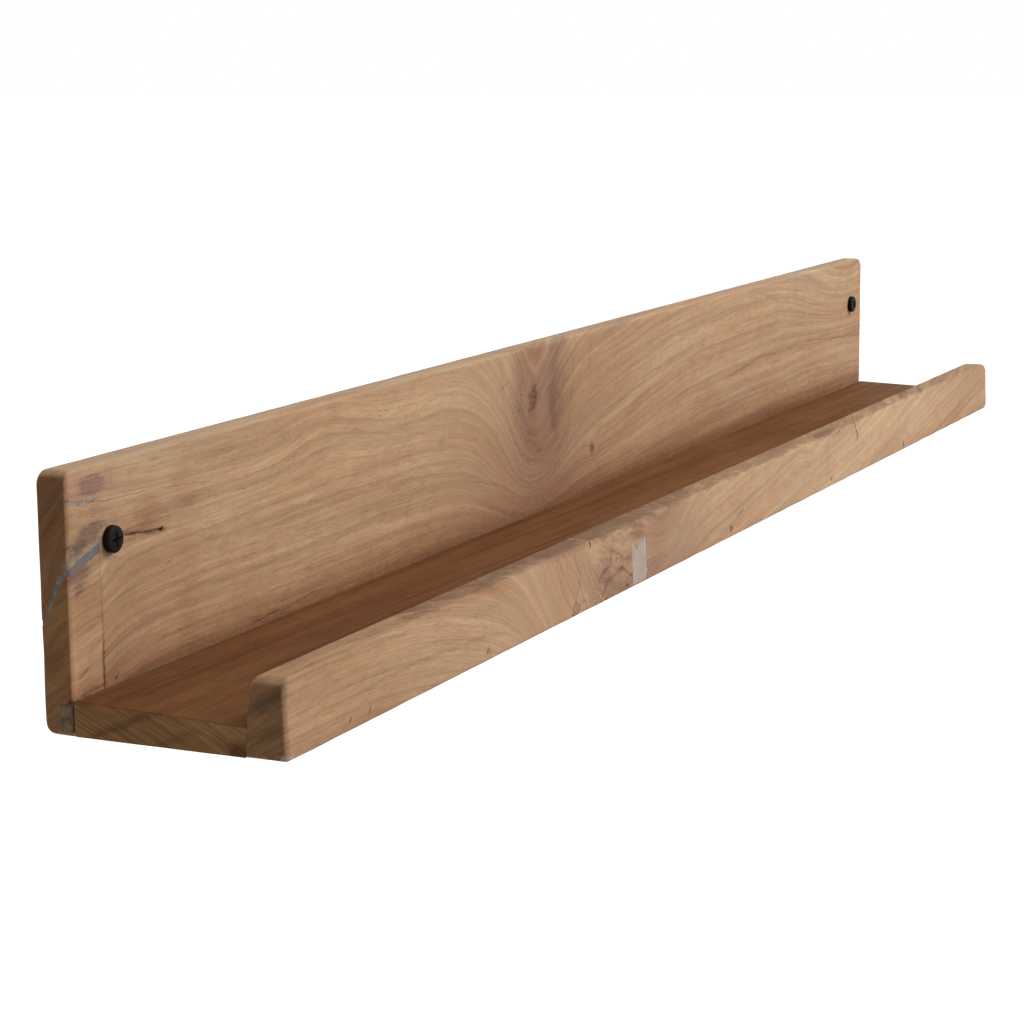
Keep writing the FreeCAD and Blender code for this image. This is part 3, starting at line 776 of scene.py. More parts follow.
BOARD_STAINS_AND_SHADE = [
    ((500, 105, -7), (520, 8, 3), 0, 0.6, 0.6, (0.90, 0.97, 1.06), 0.9),
    ((0, 88, -7), (3, 12, 20), 0, 0.8, 0.6, (0.88, 0.79, 0.71), 0.9),
    # These three marks are painted shade, warmed like light bounced off the tray: a darker band along the
    # board's foot where the tray and lip hide it, over wood a little redder there.
    ((500, 12), (560, 5, 17), 0, 0.6, 0.4, (0.60, 0.44, 0.36), 1.0),
    ((560, 12.5), (530, 5, 6.0), 0, 0.9, 0.3, (0.56, 0.46, 0.38), 1.0),
    ((900, 12), (200, 5, 18), 0, 0.6, 0.4, (0.88, 0.84, 0.80), 0.9),
    ((440, 46), (100, 5, 30), 0, 0.8, 0.6, (0.82, 0.76, 0.77), 0.9),
    ((880, 94), (62, 5, 24), 0, 0.8, 0.6, (1.06, 1.16, 1.26), 0.9),
    ((52, 93), (40, 5, 13), 0, 0.8, 0.6, (1.12, 1.22, 1.28), 0.9),
    ((210, 72), (130, 5, 60), 0, 0.7, 0.4, (1.12, 1.14, 1.13), 0.9),
    ((16, 96), (13, 3, 7), 0, 0.5, 1.2, PINKISH, 0.7),
    ((17, 96.2), (8.5, 3, 4.2), 0, 0.3, 1.1, (0.54, 0.59, 0.74), 0.95),
    ((11, 75.5), (13, 3, 4.4), 14, 0.4, 1.2, (0.43, 0.42, 0.50), 0.95),
    ((6.5, 72.5), (6, 3, 3.0), 24, 0.4, 1.2, (0.55, 0.55, 0.62), 0.9),
    ((20, 83), (5, 3, 8), 0, 0.7, 1.4, MINERAL, 0.4),
    ((50, 73.5), (19, 3, 3.4), 4, 0.8, 1.6, (0.66, 0.53, 0.49), 0.8),
    ((46, 50), (34, 3, 28), 0, 0.8, 0.6, (0.95, 0.89, 0.88), 0.9),
    ((56, 80), (8, 3, 6), 0, 0.7, 1.2, RUST, 0.55),
    ((86, 78.5), (16, 3, 2.2), 4, 0.7, 1.8, HALO, 0.5),
    ((66, 70.6), (1.1, 3, 1.1), 0, 0.4, 0.8, UMBER, 0.9),
    ((84, 60), (8, 3, 50), 0, 0.8, 1.0, RUST, 0.22),
    ((112, 95), (12, 3, 2.5), 4, 0.7, 1.8, HALO, 0.35),
    ((30, 17), (1.1, 3, 0.9), 0, 0.4, 0.5, UMBER, 0.9),
    stroke([(137, 17.0), (148, 17.8), (158, 18.2)], 0.4, 0.5, 1.6, UMBER, 0.8),
    stroke([(166, 18.3), (182, 19.0), (196, 19.6)], 0.3, 0.5, 2.2, UMBER, 0.6),
    ((21.7, 24), (0.6, 3, 11), 0, 0.7, 1.6, UMBER, 0.6),
    ((21.7, 46), (0.5, 3, 18), 0, 0.8, 2.4, BROWN, 0.4),
    stroke([(20, 89), (38, 88.4), (55, 87.8)], 0.32, 0.6, 1.6, BROWN, 0.8),
    stroke([(66, 87.2), (82, 86.2), (100, 84)], 0.3, 0.6, 2.0, BROWN, 0.6),
    stroke([(37, 73.2), (52, 71.6), (65, 70.4)], 0.9, 0.5, 1.2, UMBER, 0.7),
    ((437, 36), (46, 5, 16), 0, 0.7, 0.6, (0.80, 0.74, 0.74), 0.8),
    ((438, 74), (36, 4, 36), 0, 0.6, 0.8, (0.61, 0.55, 0.58), 0.9),
    stroke([(416, 101), (411, 86), (410, 74), (416, 62), (428, 54)], 8, 0.9, 0.8, HALO, 0.6),
    stroke([(413, 84), (412, 74), (418, 63), (427, 56)], 3.2, 0.9, 1.2, (0.72, 0.76, 0.84), 0.7),
    stroke([(468, 102), (464, 90), (459, 79), (456, 68)], 10, 0.9, 0.8, HALO, 0.6),
    stroke([(457, 92), (452, 78), (453, 66), (456, 58)], 4.2, 0.9, 1.2, (0.66, 0.70, 0.76), 0.8),
    ((433, 99), (13, 4, 6), 0, 0.7, 1.2, (0.92, 0.80, 0.76), 0.8),
    ((443, 60), (8, 4, 9), 0, 0.7, 1.0, (1.16, 1.14, 1.12), 0.8),
    ((429, 76), (7.0, 4, 9.0), -12, 0.7, 1.4, (0.76, 0.62, 0.56), 0.9),
    ((428, 76), (4.6, 4, 6.8), -12, 0.35, 1.3, (0.34, 0.23, 0.16), 1.0),
    ((429, 77), (2.4, 4, 4.0), 10, 0.5, 1.8, (0.60, 0.56, 0.54), 1.0),
    ((424, 71), (1.8, 4, 2.2), 0, 0.4, 1.0, UMBER, 0.7),
    stroke([(433, 54), (440, 51.4), (447, 51.4), (456, 54.5)], 0.7, 0.7, 1.0, PALE_WOOD, 0.9),
    stroke([(430, 50), (438, 47), (449, 47), (459, 51)], 0.5, 0.7, 1.2, BROWN, 0.6),
    ((397, 92), (4.5, 4, 13), 3, 0.6, 1.2, PALE_WOOD, 0.7),
    stroke([(384.5, 85.2), (397, 88.4)], 0.7, 0.7, 1.0, (0.72, 0.50, 0.38), 0.8),
    stroke([(505.6, 100), (504.6, 92), (503.6, 85)], 1.0, 0.8, 1.4, RUST, 0.5),
    stroke([(352, 43.5), (372, 40.5), (386, 36), (398, 31)], 0.7, 0.7, 1.4, (0.76, 0.58, 0.52), 0.8),
    ((506.5, 38), (6.5, 4, 5.4), 0, 0.5, 0.8, PALE_WOOD, 0.5),
    ((506.5, 38), (3.8, 4, 3.4), 0, 0.5, 1.2, (0.50, 0.43, 0.39), 1.0),
    ((507, 38), (1.8, 4, 1.8), 0, 0.4, 1.2, (0.60, 0.50, 0.46), 0.9),
    stroke([(484, 100), (480, 78), (474, 56), (460, 44)], 1.3, 0.8, 1.2, BROWN, 0.42),
    stroke([(389, 97), (391, 78), (404, 58), (418, 46), (446, 40)], 1.3, 0.8, 1.2, BROWN, 0.42),
    stroke([(730, 52), (780, 57), (830, 56), (870, 58), (920, 54), (1000, 49)], 0.7, 0.7, 1.6, BROWN, 0.6),
    stroke([(780, 100), (820, 90), (870, 82), (920, 79)], 0.8, 0.8, 1.6, BROWN, 0.4),
    ((997, 52), (7, 4, 60), 0, 0.7, 0.6, (1.0, 0.82, 0.80), 0.8),
]
BOARD_COVERS = [
    ((376, 50), (56, 4, 30), 0, 0.9, 0.6, (0.40, 0.238, 0.136), 0.6),
    ((372, 92), (52, 4, 24), 0, 0.9, 0.6, (0.45, 0.288, 0.174), 0.5),
    ((437, 32), (52, 4, 18), 0, 0.9, 0.6, (0.335, 0.190, 0.112), 0.5),
    ((486, 78), (24, 4, 36), 0, 0.9, 0.6, (0.37, 0.225, 0.136), 0.35),
    stroke([(2, 90.6), (10, 91.0), (20, 90.2)], 1.1, 0.6, 2.2, PUTTY_SMEAR, 0.5),
    stroke([(-1, 66.6), (6, 69.0), (12, 71.8), (22, 74.0)], 1.2, 0.4, 2.2, PUTTY_SMEAR, 0.9),
]

board = board_blank("back_board_plank")
notch = tube("notch", wedge_rows(0.0, JOINT_TOP_SEED))
carve(board, "DIFFERENCE", [notch, streak_tool(), crack_tool(), mounting_hole_tool(), tray_screw_tool()])
BOARD_TEAK = teak("teak_back_board", BOARD_SHADES, BOARD_STAINS_AND_SHADE, BOARD_COVERS)
finish_wood(board, board_outline, board_flow, BOARD_TEAK, "back_board")

# Corner patch: a block of the same teak let into the board's lower left corner, its grain rising
# to the right. Its top slopes down to the wall, a knife-wide seam parts it from the board, and
# putty closes the joint over it and the chipped heel of its end.
HEEL = np.array([(-6, 1.6), (5, 1.6), (5, 13), (-6, 13)])
HEEL_BACK = -7.2 * MM


def heel_tool():
    """The chipped place at the foot of the patch's end, beside the tray's joint."""
    outline = ragged(face_outline(HEEL), 1.4 * MM, 0.15 * MM, 41)
    return tube("heel", slab_rows(outline, BOARD_FRONT - TOOL_PAST, HEEL_BACK))


def patch_flow(points):
    """The patch's grain: ring lines that rise 10 degrees to the right and climb to the front on its
    end. What is added at last takes it to another part of the noise than the board's."""
    along = (points[:, 0] - LEFT_END) / MM
    up = (points[:, 2] - UNDERSIDE) / MM
    out = points[:, 1] / MM
    ring = up - 0.18 * along + 0.7 * (out - BOARD_FRONT / MM)
    ring += 5 * (sway(points * [0.5, 1, 1], 30 * MM, 21) - 0.5)
    return np.stack([along + 400, ring + 300, out], axis=1) * MM


SEAM_GAP = np.array([(21.0, -3), (21.62, -3), (21.58, 22), (21.5, 33), (21.38, 33), (21.28, 22)])


def seam_gap_tool():
    """The knife-wide gap beside the patch, which closes upwards."""
    outline = ragged(face_outline(SEAM_GAP), 1.5 * MM, 0.05 * MM, 42)
    return tube("gap", slab_rows(outline, BOARD_FRONT - TOOL_PAST, WALL_PLANE + TOOL_PAST))


PATCH_SLACK = 0.03 * MM
patch_span = (LEFT_END, PATCH_RIGHT + TOOL_PAST)
patch = board_blank("patch_plank", patch_span, sunk=PATCH_SLACK)
carve(patch, "INTERSECT", [tube("wedge", wedge_rows(PUTTY_THICK, PATCH_TOP_SEED, gap=PATCH_SLACK))])
carve(patch, "DIFFERENCE", [heel_tool(), seam_gap_tool()])
PATCH_STAINS_AND_SHADE = [
    # Painted shade: a darker, warmer band at the patch's foot where the tray meets it.
    ((12, 12), (20, 5, 9), 0, 0.6, 0.6, (0.78, 0.64, 0.56), 0.9),
    stroke([(4.5, 22.5), (10, 25)], 0.8, 0.6, 1.4, BROWN, 0.8),
    ((6.5, 61), (7, 3, 4.8), 0, 0.5, 1.6, (0.58, 0.60, 0.70), 0.9),
    ((6, 57), (3, 3, 2.4), 0, 0.5, 1.4, (0.70, 0.76, 0.92), 0.9),
    ((11, 55), (10, 3, 8), 10, 0.6, 1.2, (0.86, 0.78, 0.80), 0.9),
    ((21.2, 24), (0.8, 3, 12), 0, 0.7, 1.6, UMBER, 0.5),
    ((21.2, 46), (0.5, 3, 18), 0, 0.8, 2.4, BROWN, 0.35),
    # Painted shadow: a dark line along the patch's foot at the tray joint.
    ((12, 15.5), (11, 3, 1.2), 6, 0.7, 2.0, UMBER, 0.6),
    ((0, 26, -7), (3, 10, 30), 0, 0.7, 0.6, (1.30, 1.24, 1.12), 0.9),
    ((0, 29, -4.5), (3, 6.5, 8), 38, 0.7, 1.2, (0.68, 0.64, 0.62), 0.7),
    ((0, 13.2, -12.6), (2, 1.3, 1.2), 0, 0.4, 0.6, UMBER, 1.0),
    ((0, 66, -13), (2, 1.0, 1.0), 0, 0.4, 0.6, UMBER, 0.9),
]
PATCH_COVERS = [
    ((15, 66), (1.6, 3, 0.8), 24, 0.4, 1.6, PUTTY_SMEAR, 0.6),
    stroke([(-1, 64.0), (6, 66.6), (13, 69.6)], 0.7, 0.6, 2.4, PUTTY_SMEAR, 0.8),
]
PATCH_SHADES = dict(BOARD_SHADES, ground=(0.475, 0.275, 0.145), ruddy=(0.44, 0.235, 0.120))
PATCH_TEAK = teak("teak_corner_patch", PATCH_SHADES, PATCH_STAINS_AND_SHADE, PATCH_COVERS)
finish_wood(patch, board_outline, patch_flow, PATCH_TEAK, "corner_patch")


# Putty about the patch: grey filler pressed into the sloping joint, the chipped heel and a gouge
# near the upper corner, and a bead in the open angle over the tray, whose dark brown is painted
# shade for that angle. It was scraped off flush when it had set, so it lies a little low.
def putty_effects(tree, given):
    """Putty's clouds, its grains of filler, the scraping marks across it and its pinholes."""
    place = given["Place"]
    return {
        "Cloud": ramp(tree, noise(tree, stretched(tree, place, (230, 230, 230)), 4.0, 0.68), 0.36, 0.64),
        "Grains": noise(tree, stretched(tree, place, (1500, 1500, 1500)), 2.0, 0.6),
        "Scrape": noise(tree, stretched(tree, place, (120, 900, 900)), 2.0, 0.6),
        "Pinholes": ramp(tree, noise(tree, stretched(tree, place, (1100, 1100, 1100)), 1.0), 0.68, 0.76),
    }


PUTTY_SKIN = new_group("putty_skin", {"Place": "Vector"}, putty_effects)


def putty(name, body, stain, stain_share, smears=()):
    """Wood putty: a body colour clouded with a stain, with grains, scraping marks, pinholes and
    located smears."""

    def colour_of(tree):
        place = add(tree, "ShaderNodeTexCoord", {}).node.outputs["Object"]
        found = use_group(tree, PUTTY_SKIN, {"Place": place})
        colour = blend(tree, maths(tree, "MULTIPLY", found["Cloud"], stain_share), body, stain)
        push = maths(tree, "SUBTRACT", found["Cloud"], 0.5)
        colour = marked(tree, colour, axes(tree, place), push, 1.0, smears, "MIX")
        light = ramp(tree, found["Grains"], 0.3, 0.7, 0.88, 1.1, shape="LINEAR")
        colour = blend(tree, 1.0, colour, grey(tree, light), "MULTIPLY")
        colour = blend(tree, maths(tree, "MULTIPLY", found["Pinholes"], 0.5), colour, stain)
        height = maths(tree, "MULTIPLY_ADD", found["Grains"], 0.5, found["Scrape"])
        height = maths(tree, "SUBTRACT", height, found["Pinholes"])
        return colour, found["Grains"], height, 0.2 * MM

    return new_material(name, colour_of, (0.75, 0.9), Specular_IOR_Level=0.2)


JOINT_SMEARS = [((12, 70, -15), (22, 3, 14), 0, 0.2, 0.0, (0.165, 0.150, 0.158), 0.75)]
JOINT_PUTTY = putty("putty_joint", (0.225, 0.205, 0.185), (0.13, 0.098, 0.072), 0.85, JOINT_SMEARS)
joint = board_blank("joint_plank", patch_span, sunk=0.15 * MM, seed=51)
carve(joint, "INTERSECT", [tube("wedge", wedge_rows(0.0, JOINT_TOP_SEED))])
carve(joint, "DIFFERENCE", [tube("wedge", wedge_rows(PUTTY_THICK, PATCH_TOP_SEED))])
finish_piece(joint, JOINT_PUTTY, "patch_filler")

HEEL_SMEARS = [((0, 7, -13.4), (3, 0.9, 9), 0, 0.5, 1.2, (0.05, 0.028, 0.016), 0.9)]
HEEL_PUTTY = putty("putty_heel", (0.205, 0.142, 0.088), (0.105, 0.060, 0.032), 0.95, HEEL_SMEARS)
heel = board_blank("heel_plank", patch_span, sunk=0.12 * MM, seed=52)
carve(heel, "INTERSECT", [heel_tool()])
finish_piece(heel, HEEL_PUTTY, "heel_filler")

STREAK_PUTTY = putty("putty_streak", (0.34, 0.285, 0.235), (0.25, 0.165, 0.118), 1.0)
streak = board_blank("streak_plank", patch_span, sunk=0.1 * MM, seed=53)
carve(streak, "INTERSECT", [streak_tool()])
finish_piece(streak, STREAK_PUTTY, "streak_filler")

bead_low, bead_high = (np.array(corner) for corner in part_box("seam_filler"))
BEAD_STEPS = 24


def bead_rows(grow):
    """Rows of the bead: a triangle in the angle between the patch and the tray, its size wandering
    along it."""
    along = np.linspace(bead_low[0] - grow, bead_high[0] + grow, BEAD_STEPS)
    spots = np.stack([along, along * 0, along * 0], axis=-1)
    size = (1 - 0.35 * sway(spots, 6 * MM, 54))[:, None]
    deep = bead_low[2] - bead_high[2]
    wide = bead_low[1] - bead_high[1]
    corner = (bead_high[1], bead_high[2] + grow)
    sections = np.stack(
        [
            np.stack([np.full_like(size, corner[0]), corner[1] + deep * size], axis=-1),
            np.stack([corner[0] + wide * size, np.full_like(size, corner[1] - 0.2 * MM)], axis=-1),
            np.stack([np.full_like(size, corner[0]), np.full_like(size, corner[1])], axis=-1),
        ],
        axis=1,
    )[:, :, 0]
    return np.concatenate([np.broadcast_to(along[:, None, None], (BEAD_STEPS, 3, 1)), sections], axis=2)


# Painted shade: the bead's putty is dark brown to stand for the shade in the angle between the patch and
# the tray.
BEAD_PUTTY_IN_PAINTED_SHADE = putty("putty_bead_painted_shade", (0.19, 0.115, 0.068), (0.08, 0.044, 0.026), 0.9)
finish_piece(tube("bead", bead_rows(0.0)), BEAD_PUTTY_IN_PAINTED_SHADE, "seam_filler")

# Tray: the narrow shelf board, a darker and redder plank of teak butted against the back board; its
# colours are darkened further as painted shade for the shade of the lip and the back board on it.
# It is thicker along the wall, its front edge is bevelled to the lip's leaning rear, and screws
# from the wall side hold it.
TRAY_REAR_THICK = 14.6 * MM
TRAY_FRONT_THICK = 12.2 * MM
SHELF_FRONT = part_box("tray_board")[0][1]
LIP_FRONT = cad_low[1]
LIP_BASE = 18.5 * MM
tray_outline = [
    (LIP_FRONT + LIP_BASE, UNDERSIDE), (SHELF_FRONT, UNDERSIDE + TRAY_FRONT_THICK),
    (BOARD_FRONT, UNDERSIDE + TRAY_REAR_THICK), (BOARD_FRONT, UNDERSIDE),
]
TRAY_ENDS = {"front": (0, 0), "rear": (0, 0), "top": (0.8 * MM, 0.3 * MM), "base": (0.8 * MM, 0.3 * MM)}
TRAY_ROUNDS = [0.4 * MM, 0.4 * MM, 0.7 * MM, 0.5 * MM]
TRAY_STEPS = (8, 40, 8, 34)
BRAD_NUMBERS = range(1, 7)
BRAD_RADIUS = 0.65 * MM
BRAD_WAY_STEPS = 12


def tray_flow(points):
    """The tray's grain: nearly straight lines along the shelf, counted outwards from the wall on
    its top and falling to the front on its end, with a small knot in the end beside the lip."""
    along = (points[:, 0] - LEFT_END) / MM
    up = (points[:, 2] - UNDERSIDE) / MM
    out = points[:, 1] / MM
    ring = -1.7 * out - 0.03 * along + 3.8 * up + 9 * (sway(points * [0.25, 1, 1], 60 * MM, 61) - 0.5)
    ring += 8 * np.exp(-(((out + 86) / 5) ** 2 + ((up - 2) / 4) ** 2) / 2 - (along / 30) ** 2)
    return np.stack([along - 700, ring, out], axis=1) * MM


def brad_ways():
    """The brads' ways through the lip into the tray."""
    tools = []
    for index in BRAD_NUMBERS:
        low, high = (np.array(corner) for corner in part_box(f"lip_brad_{index}"))
        profile = [(BRAD_RADIUS, low[1] - TOOL_PAST), (BRAD_RADIUS, high[1])]
        tools.append(tube("way", turned_rows(profile, (low + high) / 2, BRAD_WAY_STEPS)))
    return one_tool(tools)


# The tray's own darker, redder teak, darkened further as painted shade.
TRAY_TONES_WITH_PAINTED_SHADE = {
    "ground": (0.165, 0.067, 0.025),
    "ruddy": (0.130, 0.046, 0.017),
    "pale": (0.200, 0.088, 0.036),
    "line": (0.075, 0.028, 0.012),
    "pore": (0.045, 0.020, 0.010),
    "worn": (0.150, 0.068, 0.030),
    "end": (0.245, 0.126, 0.052),
}
TRAY_STAINS_LIGHT_AND_SHADE = [
    ((30, 13, -40), (150, 60, 4), 0, 0.8, 0.4, (0.88, 0.88, 0.90), 0.9),
    # Painted light: the tray's top lighter towards the lip at the left end, away from the back board's
    # shade.
    ((26, 13, -76), (70, 22, 5), 0, 0.8, 1.0, (1.34, 1.44, 1.40), 1.0),
    ((0, 2.2, -87), (4, 4.0, 3.4), 0, 0.6, 1.2, (0.42, 0.34, 0.32), 1.0),
    ((0, 12.4, -89), (2, 1.8, 1.2), 0, 0.5, 1.0, (1.2, 0.9, 0.75), 0.5),
    ((0, 9.5, -40), (2, 26, 1.6), 24, 0.8, 2.0, (0.66, 0.70, 0.76), 0.7),
    ((0, 6.5, -34), (2, 18, 1.2), 24, 0.8, 2.0, (0.64, 0.66, 0.72), 0.7),
    ((0, 4.5, -60), (2, 16, 1.4), 24, 0.8, 2.0, (0.70, 0.70, 0.74), 0.7),
    ((0, 13.0, -40), (2, 40, 1.2), 2, 0.7, 1.4, (1.20, 1.10, 1.0), 0.7),
    ((120, 13, -60), (60, 7, 3), 0, 0.7, 1.4, (0.84, 0.76, 0.72), 0.7),
    ((520, 13, -30), (160, 5, 3), 0, 0.7, 1.4, (0.86, 0.74, 0.68), 0.7),
    # Painted shade: a darker band on the tray's top along the back board.
    ((300, 13, -17), (290, 3.0, 3), 0, 0.8, 1.6, (0.74, 0.68, 0.64), 0.6),
]
tray_rows = with_caps(plank_rows(tray_outline, TRAY_ENDS, TRAY_ROUNDS, BOARD_PITCH, TRAY_STEPS))
tray = tube("tray_plank", weathered(tray_rows, tray_outline, 0.05 * MM, 0.1 * MM, 62))
carve(tray, "DIFFERENCE", [tube("bead", bead_rows(0.05 * MM)), tray_screw_tool(), brad_ways()])
TRAY_TEAK = teak("teak_tray", TRAY_TONES_WITH_PAINTED_SHADE, TRAY_STAINS_LIGHT_AND_SHADE, rings_per_metre=250, ring_depth=0.5, shine=0.06)
finish_wood(tray, tray_outline, tray_flow, TRAY_TEAK, "tray_board")

# Front lip: the raised strip that keeps frames from sliding off, glued and bradded to the tray's
# edge. Both its faces lean in to a narrower top. It is wildly figured about two knots, with
# checks, chips and putty in it.
LIP_ROUNDS = [1.8 * MM, 1.5 * MM, 3.0 * MM, 0.5 * MM]
LIP_HIGH = 32.0 * MM
LIP_TOP = 14.5 * MM
LIP_LEAN = 1.2 * MM
lip_outline = [
    (LIP_FRONT, UNDERSIDE), (LIP_FRONT + LIP_LEAN, UNDERSIDE + LIP_HIGH),
    (LIP_FRONT + LIP_LEAN + LIP_TOP, UNDERSIDE + LIP_HIGH), (LIP_FRONT + LIP_BASE, UNDERSIDE),
]
LIP_ENDS = {
    "front": (2.6 * MM, 2.6 * MM), "rear": (0.1 * MM, 1.5 * MM),
    "top": (5.0 * MM, 10.0 * MM), "base": (1.6 * MM, 7.0 * MM),
}
LIP_PITCH = 2.0 * MM
LIP_STEPS = (22, 12, 20, 12)
LIP_FALL_PLACES = (
    0, 70, 100, 130, 160, 180, 200, 215, 230, 245,
    258, 275, 300, 325, 345, 400, 440, 620, 760, 1000,
)
LIP_FALLS = (
    0.0, 0.04, 0.10, 0.16, 0.22, 0.34, 0.55, 0.9, 1.4, 2.0,
    2.4, 1.6, 0.5, 0.1, -0.3, -0.25, -0.16, -0.12, -0.22, -0.12,
)


def lip_flow(points):
    """The lip's grain: level lines at the left that fall ever more steeply towards the knots, a
    contorted stretch, arcs hanging from the top beside the putty, then lines that rise gently to
    the right."""
    along = (points[:, 0] - LEFT_END) / MM
    up = (points[:, 2] - UNDERSIDE) / MM
    out = points[:, 1] / MM
    walk = np.arange(1001.0)
    fallen = np.cumsum(np.interp(walk, LIP_FALL_PLACES, LIP_FALLS))
    ring = up + np.interp(along, walk, fallen)
    wild = np.exp(-(((along - 292) / 36) ** 2) / 2)
    ring += 16 * wild * (sway(points, 26 * MM, 71) - 0.5) + 7 * wild * (sway(points, 9 * MM, 72) - 0.5)
    ring += 9 * bump_at(along, up, (270, 3.5), (4.5, 4)) + 26 * bump_at(along, up, (381, 31), (17, 13))
    ring += 6 * bump_at(along, up, (612, 27), (9, 5)) + 0.6 * (out - LIP_FRONT / MM)
    ring += 3 * (sway(points * [0.4, 1, 1], 34 * MM, 73) - 0.5)
    return np.stack([along + 1500, ring, out], axis=1) * MM


def lip_blank(name, span=None, sunk=0.0, seed=74):
    """The lip's strip, or a stretch of it, before anything is cut; sunk presses its whole surface in."""
    rows = with_caps(plank_rows(lip_outline, LIP_ENDS, LIP_ROUNDS, LIP_PITCH, LIP_STEPS, span))
    rows = weathered(rows, lip_outline, 0.06 * MM, 0.4 * MM, seed)
    return tube(name, rows - row_normals(rows) * sunk)


PUTTY_PLACE = np.array([337.5, 0.9])
PUTTY_SIZE = np.array([18.5, 21.6])
PUTTY_SHARES = np.array([
    (0.00, 0.00), (0.97, 0.00), (1.00, 0.16), (1.05, 0.21), (0.98, 0.27), (1.00, 0.93), (0.90, 0.99),
    (0.80, 0.92), (0.70, 1.00), (0.52, 0.92), (0.36, 0.76), (0.22, 0.88), (0.10, 1.00), (0.00, 0.95),
])
PUTTY_DEEP = 3.0 * MM


def lip_putty_tool():
    """The ragged gouge in the lip's front that the putty fills."""
    outline = ragged(face_outline(PUTTY_PLACE + PUTTY_SHARES * PUTTY_SIZE), 0.9 * MM, 0.22 * MM, 75)
    return tube("gouge", slab_rows(outline, LIP_FRONT - TOOL_PAST, LIP_FRONT + LIP_LEAN + PUTTY_DEEP))


LIP_CORNER = np.array([(-6, -6), (4.5, -6), (4.5, 2.6), (-6, 2.6)])


def lip_corner_tool():
    """The broken lower left corner that putty makes good."""
    outline = ragged(face_outline(LIP_CORNER), 1.2 * MM, 0.25 * MM, 76)
    return tube("corner", slab_rows(outline, LIP_FRONT - TOOL_PAST, LIP_FRONT + 9 * MM))


NICK_HIGH = 3.6
NICK_WIDE = 1.0
NICK_TURNS = (42, 40, 38, 14, 12, 8)
brad_centres = []
for index in BRAD_NUMBERS:
    low, high = (np.array(corner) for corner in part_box(f"lip_brad_{index}"))
    brad_centres.append((low + high) / 2)


def nick_outline(centre, turn, wide, high):
    """A narrow slot with round ends, leaning to the right by the turn: points on an oval, in the frame."""
    angle = np.linspace(0, 2 * math.pi, 20, endpoint=False)
    across, tall = np.cos(angle) * wide / 2 * MM, np.sin(angle) * high / 2 * MM
    lean = math.radians(turn)
    return np.stack(
        [
            centre[0] + across * math.cos(lean) + tall * math.sin(lean),
            centre[2] - across * math.sin(lean) + tall * math.cos(lean),
        ],
        axis=-1,
    )


def nick_tools():
    """The slots that the brads' heads were driven through."""
    tools = []
    for centre, turn in zip(brad_centres, NICK_TURNS):
        outline = nick_outline(centre, turn, NICK_WIDE, NICK_HIGH)
        tools.append(tube("nick", slab_rows(outline, LIP_FRONT - TOOL_PAST, LIP_FRONT + 2.2 * MM)))
    return one_tool(tools)


def check_tool(corners, seed):
    """A check: a thin ragged slab cut into the lip's front."""
    outline = ragged(face_outline(np.array(corners)), 1.0 * MM, 0.08 * MM, seed)
    return tube("check", slab_rows(outline, LIP_FRONT - TOOL_PAST, LIP_FRONT + LIP_LEAN + 0.9 * MM))


LIP_CHECKS = (
    ((692.2, 33), (693.3, 33), (695.2, 28), (698.2, 25), (700.4, 21.5), (697.4, 24.4), (694.4, 27.6)),
    ((286.4, 33), (287.2, 33), (288.0, 30.5), (287.2, 28.2), (286.6, 30.5)),
    ((262.5, -3), (267.5, -3), (266.6, 0.9), (264.6, 1.4), (263.2, 0.6)),
    ((300.6, -3), (306, -3), (304.6, 0.8), (302.2, 1.2)),
    ((482, 9.7), (488, 10.4), (495, 11.6), (495, 12.1), (488, 11.1)),
)

